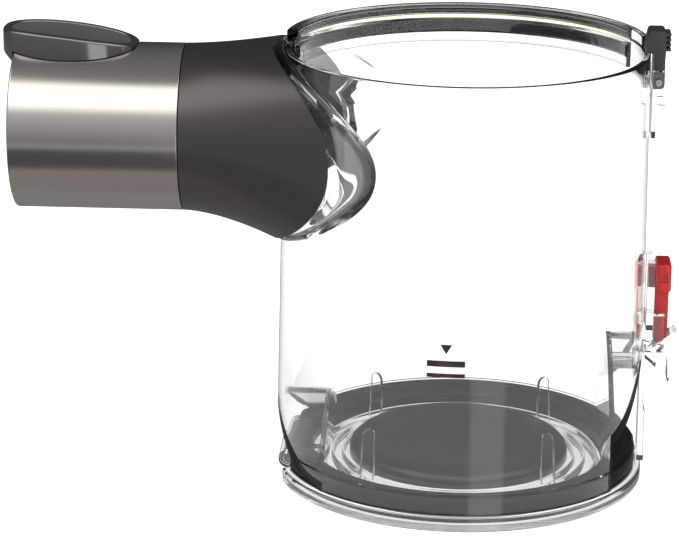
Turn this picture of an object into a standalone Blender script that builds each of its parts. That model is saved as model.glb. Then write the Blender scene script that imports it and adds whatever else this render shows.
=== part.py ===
"""Clear dust bin of a stick vacuum cleaner, as an assembly of separate pieces.

A clear wall carries a metallic inlet tube on its left, a hinged base underneath, and on its right
a red slider that frees the base's catch and a dark latch that holds the bin to the machine.
+Z is up, the inlet points along -X, and the origin is the centre of the base's underside.
Sizes are written in millimetres and turned into Blender's metres by MM.
"""

import math

import bmesh
import bpy
from mathutils import Matrix, Vector

MM = 0.001
GAP = 0.3 * MM  # clearance between pieces that touch
SEAL_GAP = 0.4 * MM  # clearance round the base seal, so that the base swings free
PIN_GAP = 0.1 * MM  # radial clearance of a pin in its holes
ROUND = 72  # sides of the large turned pieces
SMALL_ROUND = 40  # sides of the inlet tubes
PIN_ROUND = 16  # sides of pins and screws

# Bin wall
BIN_HEIGHT = 131.6 * MM
BOTTOM_R = 56.0 * MM
TOP_R = 54.2 * MM
WALL = 2.0 * MM
WALL_BOTTOM = 5.0 * MM
RAIL_RISE = 3.5 * MM  # height of the far half's rail over the wall's edge
RAIL_HEIGHT = 12.0 * MM
RAIL_THICKENING = 2.1 * MM
RAIL_START = 5.7 * MM  # the rail's distance behind the line through the latch and the inlet
REBATE_TOP = 10.5 * MM
REBATE_DEPTH = 0.5 * MM

# Dents in the wall, for the hinge on the left and the catch on the right
POCKET_WALL = 1.6 * MM
HINGE_POCKET_REACH = BOTTOM_R - 15.0 * MM  # distance of the dent's flat back from the bin's axis
HINGE_POCKET_HALF_WIDTH = 38.0 * MM
HINGE_POCKET_FOOT = 6.0 * MM
HINGE_POCKET_TOP = 22.0 * MM
CATCH_POCKET_REACH = BOTTOM_R - 10.3 * MM
CATCH_POCKET_HALF_WIDTH = 33.0 * MM
CATCH_POCKET_FOOT = 20.0 * MM
CATCH_POCKET_TOP = 43.0 * MM
LEDGE_TOP = 36.8 * MM
LEDGE_THICKNESS = 2.5 * MM
LEDGE_REACH = BOTTOM_R - 1.9 * MM
LEDGE_HALF_WIDTH = 5.0 * MM

# Inlet
TUBE_R = 25.1 * MM
TUBE_Z = 106.0 * MM
TUBE_SEAM = -(BOTTOM_R + 27.6 * MM)
TUBE_END = TUBE_SEAM - 50.4 * MM
TUBE_WALL = 2.0 * MM
DUCT_WALL = 1.6 * MM
DUCT_SPACE = 2.5 * MM  # between duct and sleeve, for the conductors
BORE_R = TUBE_R - TUBE_WALL - DUCT_SPACE - DUCT_WALL
DUCT_FLANGE = 2.5 * MM
PORT_HALF_WIDTH = 40.0 * MM
PORT_LOW = 78.0 * MM
PORT_HIGH = 121.0 * MM
FOOT_HALF_WIDTH = 43.0 * MM
FOOT_HALF_HEIGHT = 29.0 * MM
FOOT_Z = 103.8 * MM
FOOT_ROUNDNESS = 2.2
NECK_FLARE = 1.6
COLLAR_MARGIN = 6.0 * MM  # how far the collar stands out beside the neck's foot
COLLAR_THICKNESS = 2.2 * MM
FRAME_THICKNESS = 1.5 * MM
FRAME_X = -(BOTTOM_R + 4.5 * MM)

# Hood on the inlet
HOOD_LEFT = TUBE_END - 4.0 * MM
HOOD_RIGHT = TUBE_END + 37.0 * MM
HOOD_HALF_WIDTH = 12.5 * MM
HOOD_RISE = 4.9 * MM  # height of the hood's left end over the tube
HOOD_DROP = 4.4 * MM  # fall of its top from left to right
HOOD_WALL = 1.8 * MM
HOOD_LIP = 2.4 * MM
HOOD_RECESS = 0.9 * MM
HOOD_SKIN = 2.3 * MM
PLATE_THICKNESS = 0.5 * MM

# Contacts
CONTACT_LENGTH = 16.0 * MM
CONTACT_HALF_WIDTH = 5.2 * MM
CONTACT_HEIGHT = 3.9 * MM
CONTACT_R = 0.6 * MM
CONTACT_SPACING = 5.0 * MM
CONTACT_START = TUBE_END + 6.0 * MM
REAR_BLOCK = (8.0 * MM, 8.0 * MM, 15.0 * MM)  # its depth along X, its width and its height
STRIP_WIDTH = 3.0 * MM
STRIP_THICKNESS = 0.7 * MM

# Base
BASE_FLOOR = 2.4 * MM
BASE_TOP = 4.2 * MM
FLANGE_TOP = 4.4 * MM
FOOT_WALL = 1.0 * MM  # thickness of the base beside the seal's groove
BOSS_R = 9.0 * MM
DOME_R = 33.5 * MM
DOME_HEIGHT = 8.3 * MM
FIN_INNER_R = 35.0 * MM
FIN_OUTER_R = 41.0 * MM
FIN_TOP = 21.0 * MM
FIN_THICKNESS = 1.0 * MM
RIB_RADII = (35.0 * MM, 38.2 * MM, 42.0 * MM)
RIB_WIDTH = 0.8 * MM
RIB_RISE = 2.0 * MM
SEAL_BED = 2.0 * MM  # height of the groove's floor under the seal
SEAL_BED_WIDTH = 10.0 * MM
SEAL_TOP = 10.6 * MM
SEAL_WIDTH = 9.4 * MM
SEAL_FLAT_WIDTH = 4.6 * MM  # the seal's width along its two flats

# Hinge
HINGE_X = -(BOTTOM_R - 4.5 * MM)
HINGE_Z = 6.5 * MM
HINGE_EYE_R = 3.0 * MM
HINGE_PIN_R = 1.5 * MM
KNUCKLE_HALF_WIDTH = 11.0 * MM
EAR_WIDTH = 4.0 * MM
HINGE_CLEARING = 2.5 * MM  # free width in the base beside each ear

# Catch, slider and guide
CATCH_HALF_WIDTH = 3.8 * MM
CATCH_ARM_X = BOTTOM_R - 1.4 * MM
CATCH_ARM = 1.5 * MM
TOOTH = 1.4 * MM
RAMP_FOOT = (CATCH_ARM_X + 1.2 * MM, 39.5 * MM)
RAMP_TOP = (CATCH_ARM_X + 9.8 * MM, 46.2 * MM)
RAMP_THICKNESS = 1.5 * MM
LEG_TIP = (CATCH_ARM_X + 8.3 * MM, 29.9 * MM)
SLIDER_GAP = 0.4 * MM
SLIDER_HALF_WIDTH = 3.6 * MM
SLIDER_DEPTH = 4.2 * MM
SLIDER_TOP = 67.7 * MM
SLIDER_HEAD = 8.7 * MM
HEAD_HALF_WIDTH = 5.5 * MM
HEAD_DEPTH = 4.7 * MM
LUG_HALF_WIDTH = 2.0 * MM
GUIDE_LOW = 40.5 * MM
GUIDE_PLATE_LOW = 47.0 * MM
GUIDE_CHEEK_TOP = 52.0 * MM
GUIDE_TOP = 68.5 * MM
GUIDE_HALF_WIDTH = 6.8 * MM
GUIDE_PLATE = 2.1 * MM
GUIDE_CHEEK = 5.4 * MM

# Latch that holds the bin to the machine
LATCH_HALF_WIDTH = 4.8 * MM
LATCH_CAP_LOW = BIN_HEIGHT + GAP  # the cap hooks over the wall's edge
LATCH_TOP = LATCH_CAP_LOW + 6.7 * MM
LATCH_LOW = 121.5 * MM
LATCH_HOOK = 1.7 * MM  # how far the cap reaches inwards over the edge
LATCH_LEG = (TOP_R + 0.7 * MM, TOP_R + 4.1 * MM)
LATCH_OUTER_X = TOP_R + 4.2 * MM
LATCH_TEETH = 4
TOOTH_DEPTH = 1.5 * MM
LATCH_PIN = ((LATCH_LEG[0] + LATCH_LEG[1]) / 2, LATCH_LOW + 2.2 * MM)
LATCH_PIN_R = 1.0 * MM
LATCH_GUIDE_LOW = 107.0 * MM
LATCH_GUIDE_TOP = LATCH_LOW - GAP
LATCH_CHEEK = (117.0 * MM, 127.0 * MM)
LATCH_CHEEK_WIDTH = 2.0 * MM
LATCH_GUIDE_PLATE = 1.2 * MM


def wall_radius(z):
    """The wall's outer radius, which draws in towards the top."""
    return BOTTOM_R + (TOP_R - BOTTOM_R) * z / BIN_HEIGHT


COLLAR_R = wall_radius(FOOT_Z - FOOT_HALF_HEIGHT) + GAP + COLLAR_THICKNESS
FOOT_R = COLLAR_R + GAP
SEAL_R = wall_radius(WALL_BOTTOM) - WALL + REBATE_DEPTH - SEAL_GAP
SEAL_BED_R = SEAL_R - SEAL_BED_WIDTH
BASE_LEFT = HINGE_X + HINGE_EYE_R + 1.2 * MM
SEAL_LEFT = -(HINGE_POCKET_REACH - POCKET_WALL - SEAL_GAP)
SEAL_RIGHT = CATCH_POCKET_REACH - POCKET_WALL - SEAL_GAP
GUIDE_X = wall_radius(GUIDE_LOW) + GAP
SLIDER_X = GUIDE_X + GUIDE_PLATE + GAP
TUBE_TOP = TUBE_Z + TUBE_R
RAMP_SLOPE = (RAMP_TOP[1] - RAMP_FOOT[1]) / (RAMP_TOP[0] - RAMP_FOOT[0])


# Materials


def material(name, colour, roughness, metallic=0.0, transmission=0.0):
    """A plain finish with the piece's colour."""
    made = bpy.data.materials.new(name)
    made.use_nodes = True
    shader = made.node_tree.nodes["Principled BSDF"]
    shader.inputs["Base Color"].default_value = (*colour, 1.0)
    shader.inputs["Roughness"].default_value = roughness
    shader.inputs["Metallic"].default_value = metallic
    shader.inputs["Transmission Weight"].default_value = transmission
    return made


def make_materials():
    return {
        "clear": material("clear_polycarbonate", (0.94, 0.95, 0.96), 0.03, transmission=1.0),
        "nickel": material("nickel_paint", (0.42, 0.40, 0.38), 0.28, metallic=0.9),
        "graphite": material("graphite_paint", (0.13, 0.12, 0.12), 0.35, metallic=0.6),
        "gloss": material("dark_gloss_plastic", (0.05, 0.05, 0.05), 0.12),
        "satin": material("satin_grey_plastic", (0.16, 0.16, 0.17), 0.4),
        "dark": material("dark_grey_plastic", (0.04, 0.04, 0.045), 0.45),
        "rubber": material("black_rubber", (0.012, 0.012, 0.013), 0.5),
        "red": material("red_plastic", (0.62, 0.03, 0.03), 0.25),
        "steel": material("steel", (0.6, 0.6, 0.6), 0.3, metallic=1.0),
        "brass": material("brass", (0.7, 0.52, 0.25), 0.3, metallic=1.0),
    }


# Shapes


def finished(name, bm, look=None):
    """A mesh object from a bmesh, with merged points, outward faces and smooth round sides."""
    bmesh.ops.remove_doubles(bm, verts=bm.verts, dist=0.00001 * MM)
    loose = [edge for edge in bm.edges if not edge.link_faces]
    bmesh.ops.delete(bm, geom=loose, context="EDGES")
    bmesh.ops.recalc_face_normals(bm, faces=bm.faces)
    mesh = bpy.data.meshes.new(name)
    bm.to_mesh(mesh)
    bm.free()
    if look:
        mesh.materials.append(look)
    mesh.shade_smooth()
    mesh.set_sharp_from_angle(angle=math.radians(32))
    made = bpy.data.objects.new(name, mesh)
    bpy.context.collection.objects.link(made)
    return made


def round_reach(angle, size):
    return size


def turned(name, profile, look=None, sides=ROUND, reach=round_reach):
    """A closed outline of (size, height) points carried once round the vertical axis."""
    bm = bmesh.new()
    stations = []
    for i in range(sides):
        angle = math.tau * i / sides
        across = Vector((math.cos(angle), math.sin(angle), 0.0))
        stations.append([bm.verts.new(across * reach(angle, r) + Vector((0, 0, z))) for r, z in profile])
    for i, here in enumerate(stations):
        there = stations[(i + 1) % sides]
        for j in range(len(profile)):
            k = (j + 1) % len(profile)
            bm.faces.new((here[j], there[j], there[k], here[k]))
    return finished(name, bm, look)


def laid_along_x(made, z):
    """Turns a piece made about the vertical axis so that its height runs along X, at height z."""
    made.data.transform(Matrix.Translation((0, 0, z)) @ Matrix.Rotation(math.radians(90), 4, "Y"))
    return made


def prism(name, outline, low, high, axis, look=None):
    """An outline drawn across an axis, and extruded along that axis from low to high."""
    place = {
        "X": lambda u, v, w: (w, u, v),
        "Y": lambda u, v, w: (u, w, v),
        "Z": lambda u, v, w: (u, v, w),
    }[axis]
    bm = bmesh.new()
    near = [bm.verts.new(place(u, v, low)) for u, v in outline]
    far = [bm.verts.new(place(u, v, high)) for u, v in outline]
    bm.faces.new(near)
    bm.faces.new(far)
    for i in range(len(outline)):
        k = (i + 1) % len(outline)
        bm.faces.new((near[i], near[k], far[k], far[i]))
    return finished(name, bm, look)


def block(name, x, y, z, look=None):
    """A box between two values on each axis."""
    return prism(name, [(x[0], y[0]), (x[1], y[0]), (x[1], y[1]), (x[0], y[1])], z[0], z[1], "Z", look)


def arc(centre, radius, start, end, steps):
    """Points on an arc, with its angles in degrees."""
    points = []
    for i in range(steps + 1):
        angle = math.radians(start + (end - start) * i / steps)
        points.append((centre[0] + radius * math.cos(angle), centre[1] + radius * math.sin(angle)))
    return points


def rod(name, radius, low, high, axis, centre=(0.0, 0.0), look=None, sides=PIN_ROUND):
    """A round bar along an axis."""
    return prism(name, arc(centre, radius, 0, 360 - 360 / sides, sides - 1), low, high, axis, look)


def oval(half_width, half_height, centre, roundness=2.0, points=52):
    """A rounded outline: an ellipse at roundness 2, and squarer above it."""
    outline = []
    for i in range(points):
        c, s = math.cos(math.tau * i / points), math.sin(math.tau * i / points)
        u = half_width * math.copysign(abs(c) ** (2 / roundness), c)
        v = half_height * math.copysign(abs(s) ** (2 / roundness), s)
        outline.append((centre[0] + u, centre[1] + v))
    return outline


def bell(half_width, foot, top, steps=20):
    """An arch with upright feet, whose sides close over in an S to a round top."""
    outline = [(-half_width, -foot), (half_width, -foot)]
    for i in range(steps + 1):
        across = half_width * (1 - 2 * i / steps)
        rise = 0.5 * (1 + math.cos(math.pi * across / half_width))
        outline.append((across, foot + (top - foot) * rise))
    return outline


def combine(made, other, operation):
    modifier = made.modifiers.new(operation.title(), "BOOLEAN")
    modifier.operation = operation
    modifier.solver = "EXACT"
    modifier.object = other
    other.hide_render = True
    other.display_type = "WIRE"


def cut(made, cutter):
    combine(made, cutter, "DIFFERENCE")


def join(made, other):
    combine(made, other, "UNION")


def keep_within(made, other):
    combine(made, other, "INTERSECT")


# Bin wall


def wall_profile():
    """Half section of the wall, up its outside and down its inside."""
    top = BIN_HEIGHT
    edge = 0.4 * MM
    inner_foot = wall_radius(REBATE_TOP) - WALL
    return [
        (wall_radius(WALL_BOTTOM), WALL_BOTTOM),
        (TOP_R, top - edge),
        (TOP_R - edge, top),
        (TOP_R - WALL + edge, top),
        (TOP_R - WALL, top - edge),
        (inner_foot, REBATE_TOP + edge),
        (inner_foot + REBATE_DEPTH, REBATE_TOP),
        (wall_radius(WALL_BOTTOM) - WALL + REBATE_DEPTH, WALL_BOTTOM),
    ]


def rail_profile():
    """Half section of the far half's rail: a thicker, higher edge with a step in its bore."""
    top = BIN_HEIGHT + RAIL_RISE
    low = top - RAIL_HEIGHT
    middle = low + RAIL_HEIGHT * 0.4
    edge = 0.5 * MM
    land = 0.8 * MM  # width of the step
    outer = TOP_R - GAP
    bore = TOP_R - WALL - RAIL_THICKENING
    return [
        (outer, low + RAIL_THICKENING),
        (outer, top - edge),
        (outer - edge, top),
        (bore + land, top),
        (bore + land, middle + edge),
        (bore, middle),
        (bore, low + RAIL_THICKENING),
        (outer - WALL / 2, low),
    ]


def pocket(wall, name, side, reach, half_width, foot, top):
    """Dents the wall inwards from one side, down to a flat back at reach."""
    outer = bell(half_width + POCKET_WALL, foot + POCKET_WALL, top + POCKET_WALL)
    low, high = sorted((side * (reach - POCKET_WALL), side * 2 * BOTTOM_R))
    body = prism(name + "_body", outer, low, high, "X")
    within = wall_radius(WALL_BOTTOM) - WALL / 2
    keep_within(body, rod(name + "_limit", within, WALL_BOTTOM, BIN_HEIGHT / 2, "Z", sides=ROUND))
    join(wall, body)
    low, high = sorted((side * reach, side * 2 * BOTTOM_R))
    cut(wall, prism(name + "_hollow", bell(half_width, foot, top), low, high, "X"))


def eye_outline(arm_end, arm_low):
    """A hinge eye with an arm that runs from it to the right."""
    eye = arc((HINGE_X, HINGE_Z), HINGE_EYE_R, 90, 300, 14)
    return eye + [
        (HINGE_X + HINGE_EYE_R + GAP, arm_low),
        (arm_end, arm_low),
        (arm_end, HINGE_Z + HINGE_EYE_R),
    ]


def make_bin_wall(looks):
    wall = turned("bin_wall", wall_profile(), looks["clear"])
    far = 2 * BOTTOM_R
    rail = turned("rim_rail", rail_profile())
    rail.data.transform(Matrix.Rotation(math.pi / ROUND, 4, "Z"))
    keep_within(rail, block("rail_half", (-far, far), (RAIL_START, far), (0, 2 * far)))
    join(wall, rail)
    half_height = (PORT_HIGH - PORT_LOW) / 2
    port = oval(PORT_HALF_WIDTH, half_height, (0, PORT_LOW + half_height), FOOT_ROUNDNESS)
    cut(wall, prism("port_hole", port, -2 * BOTTOM_R, -BOTTOM_R / 4, "X"))
    pocket(wall, "hinge_pocket", -1, HINGE_POCKET_REACH, HINGE_POCKET_HALF_WIDTH,
           HINGE_POCKET_FOOT, HINGE_POCKET_TOP)
    pocket(wall, "catch_pocket", 1, CATCH_POCKET_REACH, CATCH_POCKET_HALF_WIDTH,
           CATCH_POCKET_FOOT, CATCH_POCKET_TOP)
    ledge_x = (CATCH_POCKET_REACH - POCKET_WALL / 2, LEDGE_REACH)
    ledge_z = (LEDGE_TOP - LEDGE_THICKNESS, LEDGE_TOP)
    join(wall, block("catch_ledge", ledge_x, (-LEDGE_HALF_WIDTH, LEDGE_HALF_WIDTH), ledge_z))
    ear = eye_outline(-HINGE_POCKET_REACH + POCKET_WALL / 2, WALL_BOTTOM + GAP)
    for name, side in (("ear_front", -1), ("ear_back", 1)):
        inner = side * (KNUCKLE_HALF_WIDTH + GAP)
        low, high = sorted((inner, inner + side * EAR_WIDTH))
        join(wall, prism(name, ear, low, high, "Y"))
    reach = KNUCKLE_HALF_WIDTH + 2 * EAR_WIDTH
    hole = rod("ear_holes", HINGE_PIN_R + PIN_GAP, -reach, reach, "Y", (HINGE_X, HINGE_Z))
    cut(wall, hole)
    return wall


def make_hinge_pin(looks):
    half = KNUCKLE_HALF_WIDTH + GAP + EAR_WIDTH
    return rod("hinge_pin", HINGE_PIN_R, -half, half, "Y", (HINGE_X, HINGE_Z), looks["steel"])


# Inlet


def make_port_collar(looks):
    """Clear frame round the port, bent round the wall."""
    low = FOOT_Z - FOOT_HALF_HEIGHT
    high = FOOT_Z + FOOT_HALF_HEIGHT
    section = [
        (wall_radius(low) + GAP, low - GAP),
        (COLLAR_R, low - GAP),
        (COLLAR_R, high + GAP),
        (wall_radius(high) + GAP, high + GAP),
    ]
    collar = turned("port_collar", section, looks["clear"])
    outer = oval(FOOT_HALF_WIDTH + COLLAR_MARGIN, FOOT_HALF_HEIGHT, (0, FOOT_Z), FOOT_ROUNDNESS)
    keep_within(collar, prism("collar_outline", outer, -2 * BOTTOM_R, -BOTTOM_R / 4, "X"))
    half_height = (PORT_HIGH - PORT_LOW) / 2
    port = oval(PORT_HALF_WIDTH, half_height, (0, PORT_LOW + half_height), FOOT_ROUNDNESS)
    cut(collar, prism("collar_hole", port, -3 * BOTTOM_R, 0, "X"))
    return collar


def neck_point(angle, along, inset):
    """A point of the neck: along goes from the sleeve, 0, to the foot, 1."""
    s, c = math.sin(angle), math.cos(angle)
    start_y = (TUBE_R - inset) * s
    start_z = TUBE_Z + (TUBE_R - inset) * c
    foot_y = (FOOT_HALF_WIDTH - inset) * math.copysign(abs(s) ** (2 / FOOT_ROUNDNESS), s)
    foot_z = FOOT_Z + (FOOT_HALF_HEIGHT - inset) * math.copysign(abs(c) ** (2 / FOOT_ROUNDNESS), c)
    foot_x = -math.sqrt(FOOT_R**2 - foot_y**2)
    share = along**NECK_FLARE
    return Vector((
        TUBE_SEAM + (foot_x - TUBE_SEAM) * along,
        start_y + (foot_y - start_y) * share,
        start_z + (foot_z - start_z) * share,
    ))


def neck_outline(x, inset):
    """The neck's outline where a plane across X cuts it."""
    outline = []
    for i in range(SMALL_ROUND):
        angle = math.tau * i / SMALL_ROUND
        along = (x - TUBE_SEAM) / (neck_point(angle, 1, inset).x - TUBE_SEAM)
        point = neck_point(angle, along, inset)
        outline.append((point.y, point.z))
    return outline


def make_inlet_neck(looks):
    """A thin shell that flares from the round sleeve to the port's wide foot."""
    steps = 8
    bm = bmesh.new()
    loops = []
    for inset, order in ((0.0, range(steps + 1)), (TUBE_WALL, reversed(range(steps + 1)))):
        for step in order:
            loop = []
            for i in range(SMALL_ROUND):
                loop.append(bm.verts.new(neck_point(math.tau * i / SMALL_ROUND, step / steps, inset)))
            loops.append(loop)
    for here, there in zip(loops, loops[1:] + loops[:1]):
        for i in range(SMALL_ROUND):
            k = (i + 1) % SMALL_ROUND
            bm.faces.new((here[i], here[k], there[k], there[i]))
    return finished("inlet_neck", bm, looks["graphite"])


def make_inlet_sleeve(looks):
    """The bright tube, with a slot under the hood for the contact block."""
    edge = 0.6 * MM
    inner = TUBE_R - TUBE_WALL
    seam = TUBE_SEAM - GAP
    section = [
        (inner, TUBE_END),
        (TUBE_R - edge, TUBE_END),
        (TUBE_R, TUBE_END + edge),
        (TUBE_R, seam),
        (inner, seam),
    ]
    sleeve = laid_along_x(turned("inlet_sleeve", section, looks["nickel"], SMALL_ROUND), TUBE_Z)
    slot_x = (CONTACT_START - 6 * CONTACT_R, CONTACT_START + CONTACT_LENGTH + GAP)
    slot_y = (-CONTACT_HALF_WIDTH - GAP, CONTACT_HALF_WIDTH + GAP)
    cut(sleeve, block("sleeve_slot", slot_x, slot_y, (TUBE_Z, TUBE_TOP + TUBE_R)))
    return sleeve


def make_inlet_duct(looks):
    """The inner air tube, with a flange that closes the sleeve's end."""
    outer = BORE_R + DUCT_WALL
    flange = TUBE_R - TUBE_WALL - GAP
    section = [
        (BORE_R, TUBE_END),
        (flange, TUBE_END),
        (flange, TUBE_END + DUCT_FLANGE),
        (outer, TUBE_END + DUCT_FLANGE),
        (outer, FRAME_X - GAP),
        (BORE_R, FRAME_X - GAP),
    ]
    return laid_along_x(turned("inlet_duct", section, looks["dark"], SMALL_ROUND), TUBE_Z)


def make_duct_seal(looks):
    inner = BORE_R + DUCT_WALL + GAP
    depth = 2.2 * MM
    width = 1.8 * MM
    right = FRAME_X - GAP
    section = [
        (inner, right - depth),
        (inner + width, right - depth * 0.7),
        (inner + width, right),
        (inner, right),
    ]
    return laid_along_x(turned("duct_seal", section, looks["rubber"], SMALL_ROUND), TUBE_Z)


def make_port_frame(looks):
    """The dark plate across the neck's mouth, with the air hole in it."""
    outline = neck_outline(FRAME_X, TUBE_WALL + 2 * GAP)
    frame = prism("port_frame", outline, FRAME_X, FRAME_X + FRAME_THICKNESS, "X", looks["dark"])
    centre = (0, TUBE_Z)
    hole = rod("frame_hole", BORE_R, 2 * FRAME_X, 0, "X", centre, sides=SMALL_ROUND)
    cut(frame, hole)
    return frame


# Hood


def hood_top(x):
    """Height of the hood's top, which falls towards the bin."""
    along = (x - HOOD_LEFT) / (HOOD_RIGHT - HOOD_LEFT)
    return TUBE_TOP + HOOD_RISE - HOOD_DROP * along**2


def hood_bottom(x):
    """Height of the hood's lower edge, which is chamfered where it overhangs the tube's end."""
    overhang = max(0.0, TUBE_END - x)
    return TUBE_TOP - 5 * MM + overhang * 0.7


def hood_stack(name, levels, look=None):
    """Ovals above each other, each (inset, height as a function of x), closed at both ends."""
    pairs = 18
    half_length = (HOOD_RIGHT - HOOD_LEFT) / 2
    centre = HOOD_LEFT + half_length
    bm = bmesh.new()
    loops = []
    for inset, height in levels:
        loop = []
        for i in range(2 * pairs):
            angle = math.pi * i / pairs
            c, s = math.cos(angle), math.sin(angle)
            x = centre + (half_length - inset) * math.copysign(abs(c) ** 0.9, c)
            y = (HOOD_HALF_WIDTH - inset) * math.copysign(abs(s) ** 0.9, s)
            loop.append(bm.verts.new((x, y, height(x))))
        loops.append(loop)
    for here, there in zip(loops, loops[1:]):
        for i in range(2 * pairs):
            k = (i + 1) % (2 * pairs)
            bm.faces.new((here[i], here[k], there[k], there[i]))
    for loop in (loops[0], loops[-1]):
        bm.faces.new((loop[0], loop[1], loop[-1]))
        bm.faces.new((loop[pairs], loop[pairs - 1], loop[pairs + 1]))
        for i in range(1, pairs - 1):
            bm.faces.new((loop[i], loop[i + 1], loop[-i - 1], loop[-i]))
    return finished(name, bm, look)


def make_latch_hood(looks):
    edge = 0.8 * MM
    hood = hood_stack("latch_hood", [
        (0.0, hood_bottom),
        (0.0, lambda x: hood_top(x) - edge),
        (edge, hood_top),
        (HOOD_LIP, hood_top),
        (HOOD_LIP, lambda x: hood_top(x) - HOOD_RECESS),
    ], looks["gloss"])
    cut(hood, hood_stack("hood_hollow", [
        (HOOD_WALL, lambda x: hood_bottom(x) - 5 * MM),
        (HOOD_WALL, lambda x: hood_top(x) - HOOD_SKIN),
    ]))
    seat = rod("sleeve_shape", TUBE_R + GAP, TUBE_END, 0, "X", (0, TUBE_Z), sides=SMALL_ROUND)
    seat.data.transform(Matrix.Translation((-GAP, 0, 0)))
    cut(hood, seat)
    return hood


def make_hood_plate(looks):
    inset = HOOD_LIP + GAP
    base = HOOD_RECESS - GAP
    return hood_stack("hood_plate", [
        (inset, lambda x: hood_top(x) - base),
        (inset, lambda x: hood_top(x) - base + PLATE_THICKNESS),
    ], looks["satin"])


# Contacts


def make_front_contacts(looks):
    x = (CONTACT_START, CONTACT_START + CONTACT_LENGTH)
    top = hood_top(x[1]) - HOOD_SKIN - 2 * GAP
    y = (-CONTACT_HALF_WIDTH, CONTACT_HALF_WIDTH)
    block("front_contact_block", x, y, (top - CONTACT_HEIGHT, top), looks["dark"])
    for number, side in ((1, -1), (2, 1)):
        centre = (side * CONTACT_SPACING / 2, top - CONTACT_HEIGHT / 2)
        left = CONTACT_START - 5 * CONTACT_R
        rod(f"front_contact_{number}", CONTACT_R, left, CONTACT_START - GAP, "X", centre, looks["brass"])


def make_rear_contacts(looks):
    depth, width, height = REAR_BLOCK
    left = FRAME_X + FRAME_THICKNESS + GAP
    side = max(y for y, z in neck_outline(FRAME_X, TUBE_WALL + 2 * GAP)) - GAP
    y = (side - width, side)
    z = (FOOT_Z - height / 2, FOOT_Z + height / 2)
    block("rear_contact_block", (left, left + depth), y, z, looks["dark"])
    for number, side in ((1, -1), (2, 1)):
        blade_z = FOOT_Z + side * height / 4
        start = left + depth + GAP
        block(f"rear_contact_{number}", (start, start + 3 * MM), (y[0] + 2 * MM, y[1] - 2 * MM),
              (blade_z - CONTACT_R, blade_z + CONTACT_R), looks["brass"])


def make_conductors(looks):
    """Two flat strips that wind round the duct from the front contacts to the rear ones."""
    steps = 18
    radius = BORE_R + DUCT_WALL + 3 * GAP + STRIP_THICKNESS / 2
    start = CONTACT_START + CONTACT_LENGTH + 2 * MM
    end = FRAME_X - 3.5 * MM
    for number, (first, last) in enumerate(((6, 78), (22, 94)), 1):
        bm = bmesh.new()
        loops = []
        for step in range(steps + 1):
            share = step / steps
            ease = share * share * (3 - 2 * share)
            angle = math.radians(first + (last - first) * ease)
            half = STRIP_WIDTH / 2 / radius
            loop = []
            for side, rise in ((-1, -0.5), (1, -0.5), (1, 0.5), (-1, 0.5)):
                turn = angle + side * half
                r = radius + rise * STRIP_THICKNESS
                point = (start + (end - start) * share, r * math.sin(turn), TUBE_Z + r * math.cos(turn))
                loop.append(bm.verts.new(point))
            loops.append(loop)
        for here, there in zip(loops, loops[1:]):
            for i in range(4):
                k = (i + 1) % 4
                bm.faces.new((here[i], here[k], there[k], there[i]))
        bm.faces.new(loops[0])
        bm.faces.new(loops[-1])
        finished(f"conductor_{number}", bm, looks["brass"])


# Base


def base_profile():
    """Half section of the base: foot ring, groove for the seal, round ribs and centre boss."""
    edge = 0.4 * MM
    profile = [
        (0.0, 0.0),
        (BOSS_R, 0.0),
        (BOSS_R, BASE_FLOOR),
        (SEAL_BED_R - FOOT_WALL, BASE_FLOOR),
        (SEAL_BED_R - FOOT_WALL, 0.0),
        (BOTTOM_R - edge, 0.0),
        (BOTTOM_R, edge),
        (BOTTOM_R, FLANGE_TOP - edge),
        (BOTTOM_R - edge, FLANGE_TOP),
        (SEAL_R + GAP, FLANGE_TOP),
        (SEAL_R + GAP, SEAL_BED),
        (SEAL_BED_R, SEAL_BED),
        (SEAL_BED_R, BASE_TOP),
    ]
    for radius in reversed(RIB_RADII):
        profile += [
            (radius + RIB_WIDTH, BASE_TOP),
            (radius + RIB_WIDTH, BASE_TOP + RIB_RISE),
            (radius, BASE_TOP + RIB_RISE),
            (radius, BASE_TOP),
        ]
    return profile + [(0.0, BASE_TOP)]


def fin_outline():
    """A fin's side view: upright inside, round on top, leaning outside."""
    width = FIN_OUTER_R - FIN_INNER_R
    round_r = width * 0.42
    top = arc((FIN_INNER_R + round_r, FIN_TOP - round_r), round_r, 30, 180, 8)
    low = BASE_TOP - BASE_FLOOR / 2
    return [(FIN_INNER_R, low), (FIN_OUTER_R, low)] + top


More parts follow.
